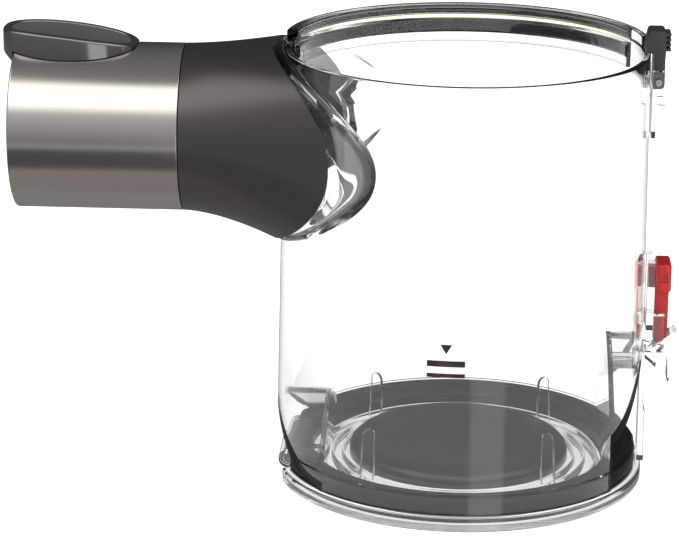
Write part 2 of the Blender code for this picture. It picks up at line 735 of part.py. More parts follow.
def make_base_plate(looks):
    plate = turned("base_plate", base_profile(), looks["clear"])
    far = 2 * BOTTOM_R
    clearing = KNUCKLE_HALF_WIDTH + GAP + EAR_WIDTH + HINGE_CLEARING
    cut(plate, block("base_cut", (-far, BASE_LEFT), (-clearing, clearing), (-far, far)))
    bed_z = ((FLANGE_TOP + BASE_TOP + GAP) / 2, SEAL_TOP)
    bed_left = SEAL_LEFT + SEAL_FLAT_WIDTH + 2 * GAP
    bed_right = SEAL_RIGHT - SEAL_FLAT_WIDTH - 2 * GAP
    cut(plate, block("left_flat_bed", (-far, bed_left), (-far, far), bed_z))
    cut(plate, block("right_flat_bed", (bed_right, far), (-far, far), bed_z))
    for number in range(4):
        fin = prism(f"fin_{number}", fin_outline(), -FIN_THICKNESS / 2, FIN_THICKNESS / 2, "Y")
        fin.data.transform(Matrix.Rotation(math.radians(45 + 90 * number), 4, "Z"))
        join(plate, fin)
    root = (BASE_LEFT + MM, BASE_LEFT + 4 * MM)
    knuckle = arc((HINGE_X, HINGE_Z), HINGE_EYE_R, 40, 270, 14) + [
        (root[0], SEAL_BED / 2),
        (root[1], SEAL_BED / 2),
        (root[1], BASE_TOP + GAP),
        (root[0], BASE_TOP + GAP),
    ]
    join(plate, prism("knuckle", knuckle, -KNUCKLE_HALF_WIDTH, KNUCKLE_HALF_WIDTH, "Y"))
    reach = 2 * KNUCKLE_HALF_WIDTH
    cut(plate, rod("knuckle_hole", HINGE_PIN_R + PIN_GAP, -reach, reach, "Y", (HINGE_X, HINGE_Z)))
    return plate


def seal_reach(angle, inset):
    """Distance from the axis to the seal's outline, flattened beside the two dents."""
    c = math.cos(angle)
    limit = SEAL_R - inset
    flat_inset = inset * SEAL_FLAT_WIDTH / SEAL_WIDTH
    if c > 0:
        return min(limit, (SEAL_RIGHT - flat_inset) / c)
    if c < 0:
        return min(limit, (SEAL_LEFT + flat_inset) / c)
    return limit


def make_base_seal(looks):
    """A lip inside the wall, on a ring that lies in the base's groove and stops at the hinge."""
    low = BASE_TOP + GAP
    edge = 0.8 * MM
    section = [
        (edge, low),
        (0.0, low + edge),
        (0.0, SEAL_TOP - edge),
        (edge, SEAL_TOP),
        (3 * edge, SEAL_TOP),
        (SEAL_WIDTH - edge, SEAL_TOP - 2 * edge),
        (SEAL_WIDTH, SEAL_TOP - 3 * edge),
        (SEAL_WIDTH, low),
    ]
    seal = turned("base_seal", section, looks["rubber"], reach=seal_reach)
    inner = SEAL_BED_R + GAP
    outer = SEAL_R - GAP / 2
    foot = SEAL_BED + GAP
    ring = turned("seal_ring", [
        (inner, foot),
        (outer, foot),
        (outer, WALL_BOTTOM - GAP),
        (inner, WALL_BOTTOM - GAP),
    ])
    half = KNUCKLE_HALF_WIDTH + GAP + EAR_WIDTH + HINGE_CLEARING + GAP
    cut(ring, block("ring_cut", (-2 * BOTTOM_R, 0), (-half, half), (0, SEAL_TOP)))
    join(seal, ring)
    return seal


def make_dome_pad(looks):
    low = BASE_TOP + GAP
    edge = 0.5 * MM
    skirt = 0.35 * DOME_HEIGHT
    section = [(0.0, low), (DOME_R - edge, low), (DOME_R, low + edge), (DOME_R, low + skirt)]
    steps = 8
    for i in range(1, steps + 1):
        angle = math.pi / 2 * i / steps
        section.append((DOME_R * math.cos(angle) ** 0.55, low + skirt + (DOME_HEIGHT - skirt) * math.sin(angle)))
    section[-1] = (0.0, low + DOME_HEIGHT)
    return turned("dome_pad", section, looks["rubber"])


# Catch, slider and guide


def make_base_catch(looks):
    """The springy arm that holds the base shut, with the ramp that the slider pushes."""
    left = CATCH_ARM_X
    right = left + CATCH_ARM
    low = FLANGE_TOP + GAP
    knee = LEDGE_TOP * 0.6
    tooth_low = LEDGE_TOP + GAP
    leg = 1.6 * MM
    outline = [
        (left, low),
        (right + 0.6 * MM, low),
        (right + 0.6 * MM, knee - 0.6 * MM),
        (right, knee),
        (right, RAMP_FOOT[1] - RAMP_THICKNESS),
        (LEG_TIP[0] - 1.6 * MM, RAMP_TOP[1] - RAMP_THICKNESS * 2.9),
        (LEG_TIP[0], RAMP_TOP[1] - RAMP_THICKNESS * 6.2),
        LEG_TIP,
        (RAMP_TOP[0] + 0.8 * MM, LEG_TIP[1] + 2.4 * leg),
        (RAMP_TOP[0] + MM, RAMP_TOP[1] - 0.4 * MM),
        RAMP_TOP,
        RAMP_FOOT,
        (left - TOOTH, tooth_low + 1.2 * MM),
        (left - TOOTH, tooth_low),
        (left, tooth_low),
    ]
    return prism("base_catch", outline, -CATCH_HALF_WIDTH, CATCH_HALF_WIDTH, "Y", looks["clear"])


def ramp_height(x):
    return RAMP_FOOT[1] + RAMP_SLOPE * (x - RAMP_FOOT[0])


def make_release_slider(looks):
    """The red push piece: a head with a lug in the guide's slot, and a stem with a sloping nose."""
    lift = SLIDER_GAP * math.hypot(1, RAMP_SLOPE)
    left = SLIDER_X
    right = left + SLIDER_DEPTH
    nose_left = left + 0.9 * MM
    stem = [
        (left, ramp_height(nose_left) + lift + MM),
        (nose_left, ramp_height(nose_left) + lift),
        (right, ramp_height(right) + lift),
        (right, SLIDER_TOP - MM),
        (left, SLIDER_TOP - MM),
    ]
    slider = prism("release_slider", stem, -SLIDER_HALF_WIDTH, SLIDER_HALF_WIDTH, "Y", looks["red"])
    head_x = (left, left + HEAD_DEPTH)
    head_z = (SLIDER_TOP - SLIDER_HEAD, SLIDER_TOP)
    join(slider, block("slider_head", head_x, (-HEAD_HALF_WIDTH, HEAD_HALF_WIDTH), head_z))
    lug_x = (GUIDE_X + GAP, left + MM)
    lug_z = (SLIDER_TOP - SLIDER_HEAD + MM, SLIDER_TOP - MM)
    join(slider, block("slider_lug", lug_x, (-LUG_HALF_WIDTH, LUG_HALF_WIDTH), lug_z))
    return slider


def make_slider_guide(looks):
    """Clear plate with a slot for the slider's lug, and cheeks beside its stem."""
    plate_x = (GUIDE_X, GUIDE_X + GUIDE_PLATE)
    width = (-GUIDE_HALF_WIDTH, GUIDE_HALF_WIDTH)
    guide = block("slider_guide", plate_x, width, (GUIDE_PLATE_LOW, GUIDE_TOP), looks["clear"])
    slot = LUG_HALF_WIDTH + GAP
    slot_z = (GUIDE_CHEEK_TOP, GUIDE_TOP + MM)
    cut(guide, block("guide_slot", (0, 2 * GUIDE_X), (-slot, slot), slot_z))
    inner = CATCH_HALF_WIDTH + 2 * GAP
    for name, side in (("cheek_front", -1), ("cheek_back", 1)):
        y = sorted((side * inner, side * GUIDE_HALF_WIDTH))
        cheek_x = (GUIDE_X, GUIDE_X + GUIDE_CHEEK)
        join(guide, block(name, cheek_x, y, (GUIDE_LOW, GUIDE_CHEEK_TOP)))
    return guide


# Latch


def make_body_latch(looks):
    """The dark latch: a cap with grip teeth on a leg that turns on a pin."""
    pitch = (LATCH_TOP - LATCH_CAP_LOW) / (LATCH_TEETH + 0.5)
    bevel = 1.2 * MM
    hook = TOP_R - LATCH_HOOK
    outline = [
        (LATCH_LEG[0], LATCH_LOW),
        (LATCH_LEG[1] - bevel, LATCH_LOW),
        (LATCH_LEG[1], LATCH_LOW + bevel),
        (LATCH_LEG[1], LATCH_CAP_LOW - bevel),
        (LATCH_OUTER_X, LATCH_CAP_LOW - bevel / 2),
    ]
    for tooth in range(LATCH_TEETH):
        z = LATCH_CAP_LOW + pitch * (tooth + 0.4)
        outline += [
            (LATCH_OUTER_X, z),
            (LATCH_OUTER_X + TOOTH_DEPTH, z + 0.1 * pitch),
            (LATCH_OUTER_X + TOOTH_DEPTH, z + 0.5 * pitch),
            (LATCH_OUTER_X, z + 0.6 * pitch),
        ]
    outline += [
        (LATCH_OUTER_X, LATCH_TOP - bevel / 2),
        (LATCH_OUTER_X - bevel / 2, LATCH_TOP),
        (hook + bevel, LATCH_TOP),
        (hook + bevel / 2, LATCH_TOP - bevel / 2),
        (hook, LATCH_TOP - 3.5 * bevel),
        (hook, LATCH_CAP_LOW),
        (LATCH_LEG[0], LATCH_CAP_LOW),
    ]
    latch = prism("body_latch", outline, -LATCH_HALF_WIDTH, LATCH_HALF_WIDTH, "Y", looks["dark"])
    reach = 2 * LATCH_HALF_WIDTH
    cut(latch, rod("latch_hole", LATCH_PIN_R + PIN_GAP, -reach, reach, "Y", LATCH_PIN))
    return latch


def make_latch_guide(looks):
    """Clear bracket on the wall whose cheeks hold the latch's pin."""
    back = wall_radius(LATCH_GUIDE_LOW) + GAP
    half = LATCH_HALF_WIDTH + GAP + LATCH_CHEEK_WIDTH
    plate_x = (back, back + LATCH_GUIDE_PLATE)
    guide = block("latch_guide", plate_x, (-half, half), (LATCH_GUIDE_LOW, LATCH_GUIDE_TOP), looks["clear"])
    for name, side in (("latch_cheek_front", -1), ("latch_cheek_back", 1)):
        y = sorted((side * (half - LATCH_CHEEK_WIDTH), side * half))
        join(guide, block(name, (back, LATCH_LEG[1] + GAP), y, LATCH_CHEEK))
    cut(guide, rod("guide_holes", LATCH_PIN_R + PIN_GAP, -2 * half, 2 * half, "Y", LATCH_PIN))
    rod("latch_pin", LATCH_PIN_R, -half, half, "Y", LATCH_PIN, looks["steel"])
    return guide


# Joints


def set_origin(made, x, z):
    """Moves a piece's origin onto its joint's axis, and leaves the piece where it is."""
    made.data.transform(Matrix.Translation((-x, 0, -z)))
    made.location = (x, 0, z)


def hang_base(pieces, catch):
    """Parents the base's pieces, and the catch on them, to an empty on the hinge's axis."""
    axis = bpy.data.objects.new("base_hinge_axis", None)
    axis.location = (HINGE_X, 0, HINGE_Z)
    bpy.context.collection.objects.link(axis)
    for piece in pieces:
        piece.parent = axis
        piece.matrix_parent_inverse = Matrix.Translation((-HINGE_X, 0, -HINGE_Z))
    set_origin(catch, CATCH_ARM_X + CATCH_ARM / 2, FLANGE_TOP + GAP)
    catch.parent = pieces[0]


def main():
    for old in list(bpy.data.objects):
        bpy.data.objects.remove(old)
    looks = make_materials()
    make_bin_wall(looks)
    make_hinge_pin(looks)
    make_port_collar(looks)
    make_inlet_neck(looks)
    make_inlet_sleeve(looks)
    make_inlet_duct(looks)
    make_duct_seal(looks)
    make_port_frame(looks)
    make_latch_hood(looks)
    make_hood_plate(looks)
    make_front_contacts(looks)
    make_rear_contacts(looks)
    make_conductors(looks)
    base = [make_base_plate(looks), make_base_seal(looks), make_dome_pad(looks)]
    hang_base(base, make_base_catch(looks))
    set_origin(make_release_slider(looks), SLIDER_X, SLIDER_TOP)
    make_slider_guide(looks)
    set_origin(make_body_latch(looks), *LATCH_PIN)
    make_latch_guide(looks)


main()
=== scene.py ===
"""Looks of a stick vacuum's clear dust bin, laid out as an add-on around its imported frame.

Each operator makes one piece or a group of like pieces in metres, in the frame's own axes:
+Z up, the inlet along -X, and the origin under the middle of the base.
"""

import math

import bmesh
import bpy
from bpy.props import FloatProperty, FloatVectorProperty, IntProperty, PointerProperty
from mathutils import Matrix, Vector


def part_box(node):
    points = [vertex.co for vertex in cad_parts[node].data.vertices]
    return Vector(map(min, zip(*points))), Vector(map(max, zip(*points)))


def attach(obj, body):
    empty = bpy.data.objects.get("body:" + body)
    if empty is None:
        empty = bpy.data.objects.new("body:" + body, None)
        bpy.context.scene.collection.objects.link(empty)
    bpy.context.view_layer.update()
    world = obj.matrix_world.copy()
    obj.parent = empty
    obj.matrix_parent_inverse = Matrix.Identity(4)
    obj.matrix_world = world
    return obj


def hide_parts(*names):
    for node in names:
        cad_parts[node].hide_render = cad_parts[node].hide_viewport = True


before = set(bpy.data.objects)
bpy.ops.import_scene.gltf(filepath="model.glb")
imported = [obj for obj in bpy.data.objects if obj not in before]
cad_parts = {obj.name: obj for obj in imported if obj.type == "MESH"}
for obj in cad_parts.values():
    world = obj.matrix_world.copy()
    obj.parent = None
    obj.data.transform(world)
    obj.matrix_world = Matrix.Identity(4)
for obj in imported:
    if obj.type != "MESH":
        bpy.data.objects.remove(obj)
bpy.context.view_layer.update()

bl_info = {
    "name": "Clear dust bin",
    "version": (1, 0, 0),
    "blender": (4, 5, 0),
    "location": "View3D > Sidebar > Dust bin",
    "description": "Makes the fine surfaces and finishes of a stick vacuum's clear dust bin",
    "category": "Object",
}

MM = 0.001
GAP = 0.3 * MM
FINE = 288  # sides of the large turned pieces
TUBE_SIDES = 160
WALL_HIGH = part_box("bin_wall")[1]
SLEEVE_LOW, SLEEVE_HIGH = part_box("inlet_sleeve")
NECK_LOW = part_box("inlet_neck")[0]
FRAME_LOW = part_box("port_frame")[0]
HOOD_LOW, HOOD_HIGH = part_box("latch_hood")
SLIDER_LOW, SLIDER_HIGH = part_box("release_slider")
CATCH_LOW, CATCH_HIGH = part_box("base_catch")
LATCH_LOW, LATCH_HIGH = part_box("body_latch")
SEAL_LOW, SEAL_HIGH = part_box("base_seal")
DOME_LOW, DOME_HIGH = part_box("dome_pad")
PIN_LOW, PIN_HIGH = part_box("hinge_pin")


# Sizes and colours that a user would change


def length(name, description, default):
    return FloatProperty(name=name, description=description, default=default, unit="LENGTH", precision=4)


def colour(name, description, default):
    return FloatVectorProperty(
        name=name, description=description, default=default, subtype="COLOR", size=3, min=0, max=1
    )


class BinSizes(bpy.types.PropertyGroup):
    """Sizes of the clear bin, its base and its inlet."""

    height: length("Height", "Height of the bin's plain edge", WALL_HIGH.z - 3.5 * MM)
    bottom_radius: length("Bottom radius", "Outer radius of the wall at its foot", 56.0 * MM)
    top_radius: length("Top radius", "Outer radius of the wall at its edge", 54.2 * MM)
    wall: length("Wall", "Thickness of the clear wall", 2.0 * MM)
    rail_rise: length("Rail rise", "Height of the far rail over the plain edge", 3.5 * MM)
    tube_radius: length("Tube radius", "Outer radius of the inlet sleeve", SLEEVE_HIGH.y)
    tube_height: length("Tube height", "Height of the inlet's axis", SLEEVE_HIGH.z - SLEEVE_HIGH.y)
    foot_half_width: length("Foot half width", "Half the width of the neck's foot", 43.0 * MM)
    foot_half_height: length("Foot half height", "Half the height of the neck's foot", 29.0 * MM)
    foot_height: length("Foot height", "Height of the middle of the neck's foot", 103.8 * MM)
    fins: IntProperty(name="Fins", description="Number of upright fins on the base", default=4, min=1)
    grips: IntProperty(name="Grips", description="Number of grip teeth on the latch", default=4, min=1)


class BinFinishes(bpy.types.PropertyGroup):
    """Colours of the bin's materials and the strength of its light."""

    clear: colour("Clear plastic", "Tint of the clear plastic", (0.985, 0.988, 0.99))
    nickel: colour("Nickel", "Colour of the inlet sleeve", (0.62, 0.595, 0.57))
    graphite: colour("Graphite", "Colour of the inlet neck", (0.10, 0.094, 0.092))
    gloss: colour("Gloss", "Colour of the hood", (0.20, 0.195, 0.19))
    satin: colour("Satin", "Colour of the hood's plate", (0.36, 0.365, 0.375))
    dark: colour("Dark plastic", "Colour of the latch and the inner parts", (0.035, 0.035, 0.038))
    rubber: colour("Rubber", "Colour of the seal and the dome", (0.005, 0.005, 0.0055))
    red: colour("Red", "Colour of the release slider", (0.55, 0.018, 0.02))
    steel: colour("Steel", "Colour of the pins", (0.6, 0.6, 0.6))
    brass: colour("Brass", "Colour of the contacts", (0.72, 0.54, 0.26))
    ink: colour("Ink", "Colour of the fill mark", (0.03, 0.012, 0.01))
    light: FloatProperty(name="Light", description="Strength of the studio's light", default=1.0, min=0)


# Outlines


def rounded(corners, steps=4):
    """A closed outline of (u, v, radius) corners, each turned into a smooth bend."""
    outline = []
    for i, (u, v, radius) in enumerate(corners):
        here = Vector((u, v))
        if radius <= 0:
            outline.append((u, v))
            continue
        before = Vector(corners[i - 1][:2]) - here
        after = Vector(corners[(i + 1) % len(corners)][:2]) - here
        reach = radius / math.tan(before.angle(after) / 2)
        reach = min(reach, 0.45 * before.length, 0.45 * after.length)
        start = here + before.normalized() * reach
        end = here + after.normalized() * reach
        for step in range(steps + 1):
            t = step / steps
            point = start * (1 - t) ** 2 + here * 2 * t * (1 - t) + end * t**2
            outline.append((point.x, point.y))
    return outline


def arc(centre, radius, start, end, steps):
    """Points on an arc, with its angles in degrees."""
    points = []
    for i in range(steps + 1):
        angle = math.radians(start + (end - start) * i / steps)
        points.append((centre[0] + radius * math.cos(angle), centre[1] + radius * math.sin(angle)))
    return points


ROUNDNESS = 2.2  # 2 is an ellipse, and more is squarer


def oval(half_width, half_height, centre, roundness=ROUNDNESS, points=144):
    outline = []
    for i in range(points):
        c, s = math.cos(math.tau * i / points), math.sin(math.tau * i / points)
        u = half_width * math.copysign(abs(c) ** (2 / roundness), c)
        v = half_height * math.copysign(abs(s) ** (2 / roundness), s)
        outline.append((centre[0] + u, centre[1] + v))
    return outline


def divided(outline, longest=5.0 * MM):
    """The same closed outline, with its long straight runs cut into short ones."""
    points = []
    for i, here in enumerate(outline):
        there = outline[(i + 1) % len(outline)]
        count = max(1, math.ceil(math.dist(here, there) / longest))
        for step in range(count):
            share = step / count
            points.append(tuple(a + (b - a) * share for a, b in zip(here, there)))
    return points


def bell(half_width, foot, top, steps=60):
    """An arch with upright feet, whose sides close over in an S to a round top."""
    outline = [(-half_width, -foot), (half_width, -foot)]
    for i in range(steps + 1):
        across = half_width * (1 - 2 * i / steps)
        rise = 0.5 * (1 + math.cos(math.pi * across / half_width))
        outline.append((across, foot + (top - foot) * rise))
    return outline


# Meshes


def made_object(name, bm, look=None, sharp=35):
    """An object from a bmesh: merged, closed outwards, and smooth where it is round."""
    bmesh.ops.remove_doubles(bm, verts=bm.verts, dist=0.0002 * MM)
    loose = [edge for edge in bm.edges if not edge.link_faces]
    bmesh.ops.delete(bm, geom=loose, context="EDGES")
    bmesh.ops.recalc_face_normals(bm, faces=bm.faces)
    mesh = bpy.data.meshes.new(name)
    bm.to_mesh(mesh)
    bm.free()
    if look:
        mesh.materials.append(look)
    mesh.shade_smooth()
    mesh.set_sharp_from_angle(angle=math.radians(sharp))
    made = bpy.data.objects.new(name, mesh)
    bpy.context.scene.collection.objects.link(made)
    return made


def skinned(name, loops, look=None, closed=True, capped=False, sharp=35):
    """Loops of points joined by quads, closed into a ring or capped at both ends."""
    bm = bmesh.new()
    rows = [[bm.verts.new(point) for point in loop] for loop in loops]
    pairs = list(zip(rows, rows[1:] + rows[:1])) if closed else list(zip(rows, rows[1:]))
    for here, there in pairs:
        for i in range(len(here)):
            k = (i + 1) % len(here)
            bm.faces.new((here[i], here[k], there[k], there[i]))
    if capped:
        bm.faces.new(rows[0])
        bm.faces.new(rows[-1])
    return made_object(name, bm, look, sharp)


def turned(name, profile, look=None, sides=FINE, reach=None, sharp=35):
    """A closed outline of (radius, height) carried once round the vertical axis."""
    loops = []
    for i in range(sides):
        angle = math.tau * i / sides
        across = Vector((math.cos(angle), math.sin(angle), 0.0))
        loops.append([across * (reach(angle, r) if reach else r) + Vector((0, 0, z)) for r, z in profile])
    return skinned(name, loops, look, sharp=sharp)


def swept(name, profile, start, end, steps, look=None, sharp=35):
    """A closed outline of (radius, height) carried from one angle to another, in degrees."""
    loops = []
    for i in range(steps + 1):
        angle = math.radians(start + (end - start) * i / steps)
        across = Vector((math.cos(angle), math.sin(angle), 0.0))
        loops.append([across * r + Vector((0, 0, z)) for r, z in profile])
    return skinned(name, loops, look, closed=False, capped=True, sharp=sharp)


def prism(name, outline, low, high, axis, look=None, sharp=35):
    place = {
        "X": lambda u, v, w: (w, u, v),
        "Y": lambda u, v, w: (u, w, v),
        "Z": lambda u, v, w: (u, v, w),
    }[axis]
    near = [place(u, v, low) for u, v in outline]
    far = [place(u, v, high) for u, v in outline]
    return skinned(name, [near, far], look, closed=False, capped=True, sharp=sharp)


def rod(name, radius, low, high, axis, centre=(0.0, 0.0), look=None, sides=48):
    return prism(name, arc(centre, radius, 0, 360 - 360 / sides, sides - 1), low, high, axis, look)


def block(name, x, y, z, look=None):
    return prism(name, [(x[0], y[0]), (x[1], y[0]), (x[1], y[1]), (x[0], y[1])], z[0], z[1], "Z", look)


def along_x(made, z):
    """Turns a piece made about the vertical axis so that its height runs along X."""
    made.data.transform(Matrix.Translation((0, 0, z)) @ Matrix.Rotation(math.radians(90), 4, "Y"))
    return made


def settled(made):
    """Bakes an object's modifiers into a plain mesh and removes them."""
    seen = made.evaluated_get(bpy.context.evaluated_depsgraph_get())
    mesh = bpy.data.meshes.new_from_object(seen)
    made.modifiers.clear()
    made.data = mesh
    return made


def combined(made, tool, operation, sharp=32):
    """Cuts or joins a second object, which is then thrown away."""
    # Stored corner normals would be wrong on the new faces
    for part in (made, tool):
        bent = part.data.attributes.get("custom_normal")
        if bent:
            part.data.attributes.remove(bent)
    modifier = made.modifiers.new("Boolean", "BOOLEAN")
    modifier.operation = operation
    modifier.solver = "EXACT"
    modifier.object = tool
    settled(made)
    bpy.data.objects.remove(tool)
    if not made.data.polygons:
        raise RuntimeError(f"{made.name} has nothing left after a cut or join")
    made.data.shade_smooth()
    made.data.set_sharp_from_angle(angle=math.radians(sharp))
    return made


def softened(made, width, segments=3, angle=40):
    """Rounds a piece's sharp edges."""
    bevel = made.modifiers.new("Bevel", "BEVEL")
    bevel.width = width
    bevel.segments = segments
    bevel.limit_method = "ANGLE"
    bevel.angle_limit = math.radians(angle)
    bevel.use_clamp_overlap = True
    bevel.harden_normals = True
    settled(made)
    return made


def placed(made, body, slot, *nodes):
    """Puts a finished piece on its body and hides the nodes that it stands for.

    A clear piece casts no shadow, so that the light comes through it.
    """
    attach(made, body)
    if nodes:
        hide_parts(*nodes)
    made.visible_shadow = slot != "clear_plastic"
    return made


# Nodes


def add_node(tree, kind, feeds=None, **values):
    """A new node with its values, and its inputs either linked to a socket or set to a constant."""
    node = tree.nodes.new(kind)
    for key, value in values.items():
        setattr(node, key, value)
    for key, value in (feeds or {}).items():
        if isinstance(value, bpy.types.NodeSocket):
            tree.links.new(value, node.inputs[key])
        else:
            node.inputs[key].default_value = value
    return node


def maths(tree, operation, *values, **settings):
    """The result of a sum on sockets and plain numbers."""
    node = add_node(tree, "ShaderNodeMath", dict(enumerate(values)), operation=operation, **settings)
    return node.outputs[0]


# Repeats, as geometry nodes


def repeat_tree():
    """Copies of a mesh along a line and round the vertical axis, with one material."""
    tree = bpy.data.node_groups.new("Repeat", "GeometryNodeTree")
    sockets = {
        "Geometry": "Geometry", "Count": "Int", "Step": "Vector",
        "First turn": "Float", "Turn": "Float", "Look": "Material",
    }
    for name, kind in sockets.items():
        tree.interface.new_socket(name, in_out="INPUT", socket_type="NodeSocket" + kind)
    tree.interface.new_socket("Geometry", in_out="OUTPUT", socket_type="NodeSocketGeometry")
    given = add_node(tree, "NodeGroupInput").outputs
    line = add_node(tree, "GeometryNodeMeshLine", {"Count": given["Count"], "Offset": given["Step"]},
                    mode="OFFSET")
    index = add_node(tree, "GeometryNodeInputIndex").outputs[0]
    angle = maths(tree, "MULTIPLY_ADD", index, given["Turn"], given["First turn"])
    turn = add_node(tree, "ShaderNodeCombineXYZ", {"Z": angle})
    copies = add_node(tree, "GeometryNodeInstanceOnPoints", {
        "Points": line.outputs["Mesh"],
        "Instance": given["Geometry"],
        "Rotation": turn.outputs[0],
    })
    real = add_node(tree, "GeometryNodeRealizeInstances", {"Geometry": copies.outputs["Instances"]})
    paint = add_node(tree, "GeometryNodeSetMaterial",
                     {"Geometry": real.outputs["Geometry"], "Material": given["Look"]})
    add_node(tree, "NodeGroupOutput", {"Geometry": paint.outputs["Geometry"]})
    return tree


def repeated(made, look, count, step=(0, 0, 0), first=0.0, turn=0.0):
    """Turns one item into its whole row or ring, as a plain mesh."""
    tree = bpy.data.node_groups.get("Repeat") or repeat_tree()
    modifier = made.modifiers.new("Repeat", "NODES")
    modifier.node_group = tree
    values = {"Count": count, "Step": step, "First turn": first, "Turn": turn, "Look": look}
    for item in tree.interface.items_tree:
        if item.in_out == "INPUT" and item.name in values:
            modifier[item.identifier] = values[item.name]
    return settled(made)


# Shader groups


def shader_group(name, defaults, result, kind="NodeSocketFloat"):
    """A new shader node group with its sockets, and the sockets that carry what it is given."""
    tree = bpy.data.node_groups.new(name, "ShaderNodeTree")
    for label, default in defaults.items():
        given = "NodeSocketColor" if isinstance(default, tuple) else "NodeSocketFloat"
        tree.interface.new_socket(label, in_out="INPUT", socket_type=given).default_value = default
    tree.interface.new_socket(result, in_out="OUTPUT", socket_type=kind)
    return tree, add_node(tree, "NodeGroupInput").outputs


def noise(tree, place, scale, detail=2.0):
    feeds = {"Vector": place, "Scale": scale, "Detail": detail}
    return add_node(tree, "ShaderNodeTexNoise", feeds).outputs[0]


def object_place(tree):
    return add_node(tree, "ShaderNodeTexCoord").outputs["Object"]


def grain_group():
    """Fine moulded grain, paint flake or orange peel, as a height."""
    tree, given = shader_group("Fine grain", {"Scale": 900.0, "Coarse": 0.2}, "Height")
    place = object_place(tree)
    fine = noise(tree, place, given["Scale"], 3.0)
    wide = noise(tree, place, maths(tree, "MULTIPLY", given["Scale"], 0.12))
    mix = add_node(tree, "ShaderNodeMix", {0: given["Coarse"], 2: fine, 3: wide})
    add_node(tree, "NodeGroupOutput", {"Height": mix.outputs[0]})
    return tree


def wear_group():
    """Roughness that varies in soft patches and thin hairlines."""
    defaults = {"Roughness": 0.3, "Spread": 0.05, "Patch scale": 60.0}
    tree, given = shader_group("Handling marks", defaults, "Roughness")
    place = object_place(tree)
    patch = noise(tree, place, given["Patch scale"], 4.0)
    stretch = add_node(tree, "ShaderNodeMapping", {"Vector": place, "Scale": (1.0, 1.0, 14.0)})
    line = noise(tree, stretch.outputs[0], 240.0)
    centred = maths(tree, "SUBTRACT", maths(tree, "ADD", patch, line), 1.0)
    rough = maths(tree, "MULTIPLY_ADD", centred, given["Spread"], given["Roughness"], use_clamp=True)
    add_node(tree, "NodeGroupOutput", {"Roughness": rough})
    return tree


def tone_group():
    """A colour with a faint second tone in patches, as dust or paint mottling."""
    grey = (0.5, 0.5, 0.5, 1.0)
    defaults = {"Colour": grey, "Second": grey, "Amount": 0.2, "Scale": 300.0}
    tree, given = shader_group("Two tones", defaults, "Colour", "NodeSocketColor")
    share = maths(tree, "MULTIPLY", noise(tree, object_place(tree), given["Scale"], 5.0), given["Amount"])
    mix = add_node(tree, "ShaderNodeMix", {0: share, 6: given["Colour"], 7: given["Second"]},
                   data_type="RGBA")
    add_node(tree, "NodeGroupOutput", {"Colour": mix.outputs[2]})
    return tree


GROUPS = {"Fine grain": grain_group, "Handling marks": wear_group, "Two tones": tone_group}


def group_node(tree, name, **values):
    node = add_node(tree, "ShaderNodeGroup")
    node.node_tree = bpy.data.node_groups.get(name) or GROUPS[name]()
    for key, value in values.items():
        node.inputs[key.replace("_", " ")].default_value = value
    return node


def look(name, base, roughness, spread=0.04, metallic=0.0, second=None, amount=0.25, tone_scale=300.0,
         grain=900.0, coarse=0.2, bump=0.02, bump_distance=0.02, patch=60.0, **sockets):
    """A material with two tones, varied roughness and fine grain. Other sockets are set directly."""
    made = bpy.data.materials.new(name)
    made.use_nodes = True
    tree = made.node_tree
    shader = tree.nodes["Principled BSDF"]
    second = second or tuple(min(1.0, 1.35 * c + 0.01) for c in base)
    tones = group_node(tree, "Two tones", Colour=(*base, 1), Second=(*second, 1), Amount=amount,
                       Scale=tone_scale)
    marks = group_node(tree, "Handling marks", Roughness=roughness, Spread=spread, Patch_scale=patch)
    height = group_node(tree, "Fine grain", Scale=grain, Coarse=coarse)
    relief = add_node(tree, "ShaderNodeBump", {
        "Height": height.outputs["Height"],
        "Strength": bump,
        "Distance": bump_distance * MM,
    })
    link = tree.links.new
    link(tones.outputs["Colour"], shader.inputs["Base Color"])
    link(marks.outputs["Roughness"], shader.inputs["Roughness"])
    link(relief.outputs["Normal"], shader.inputs["Normal"])
    shader.inputs["Metallic"].default_value = metallic
    for socket, value in sockets.items():
        shader.inputs[socket.replace("_", " ")].default_value = value
    return made


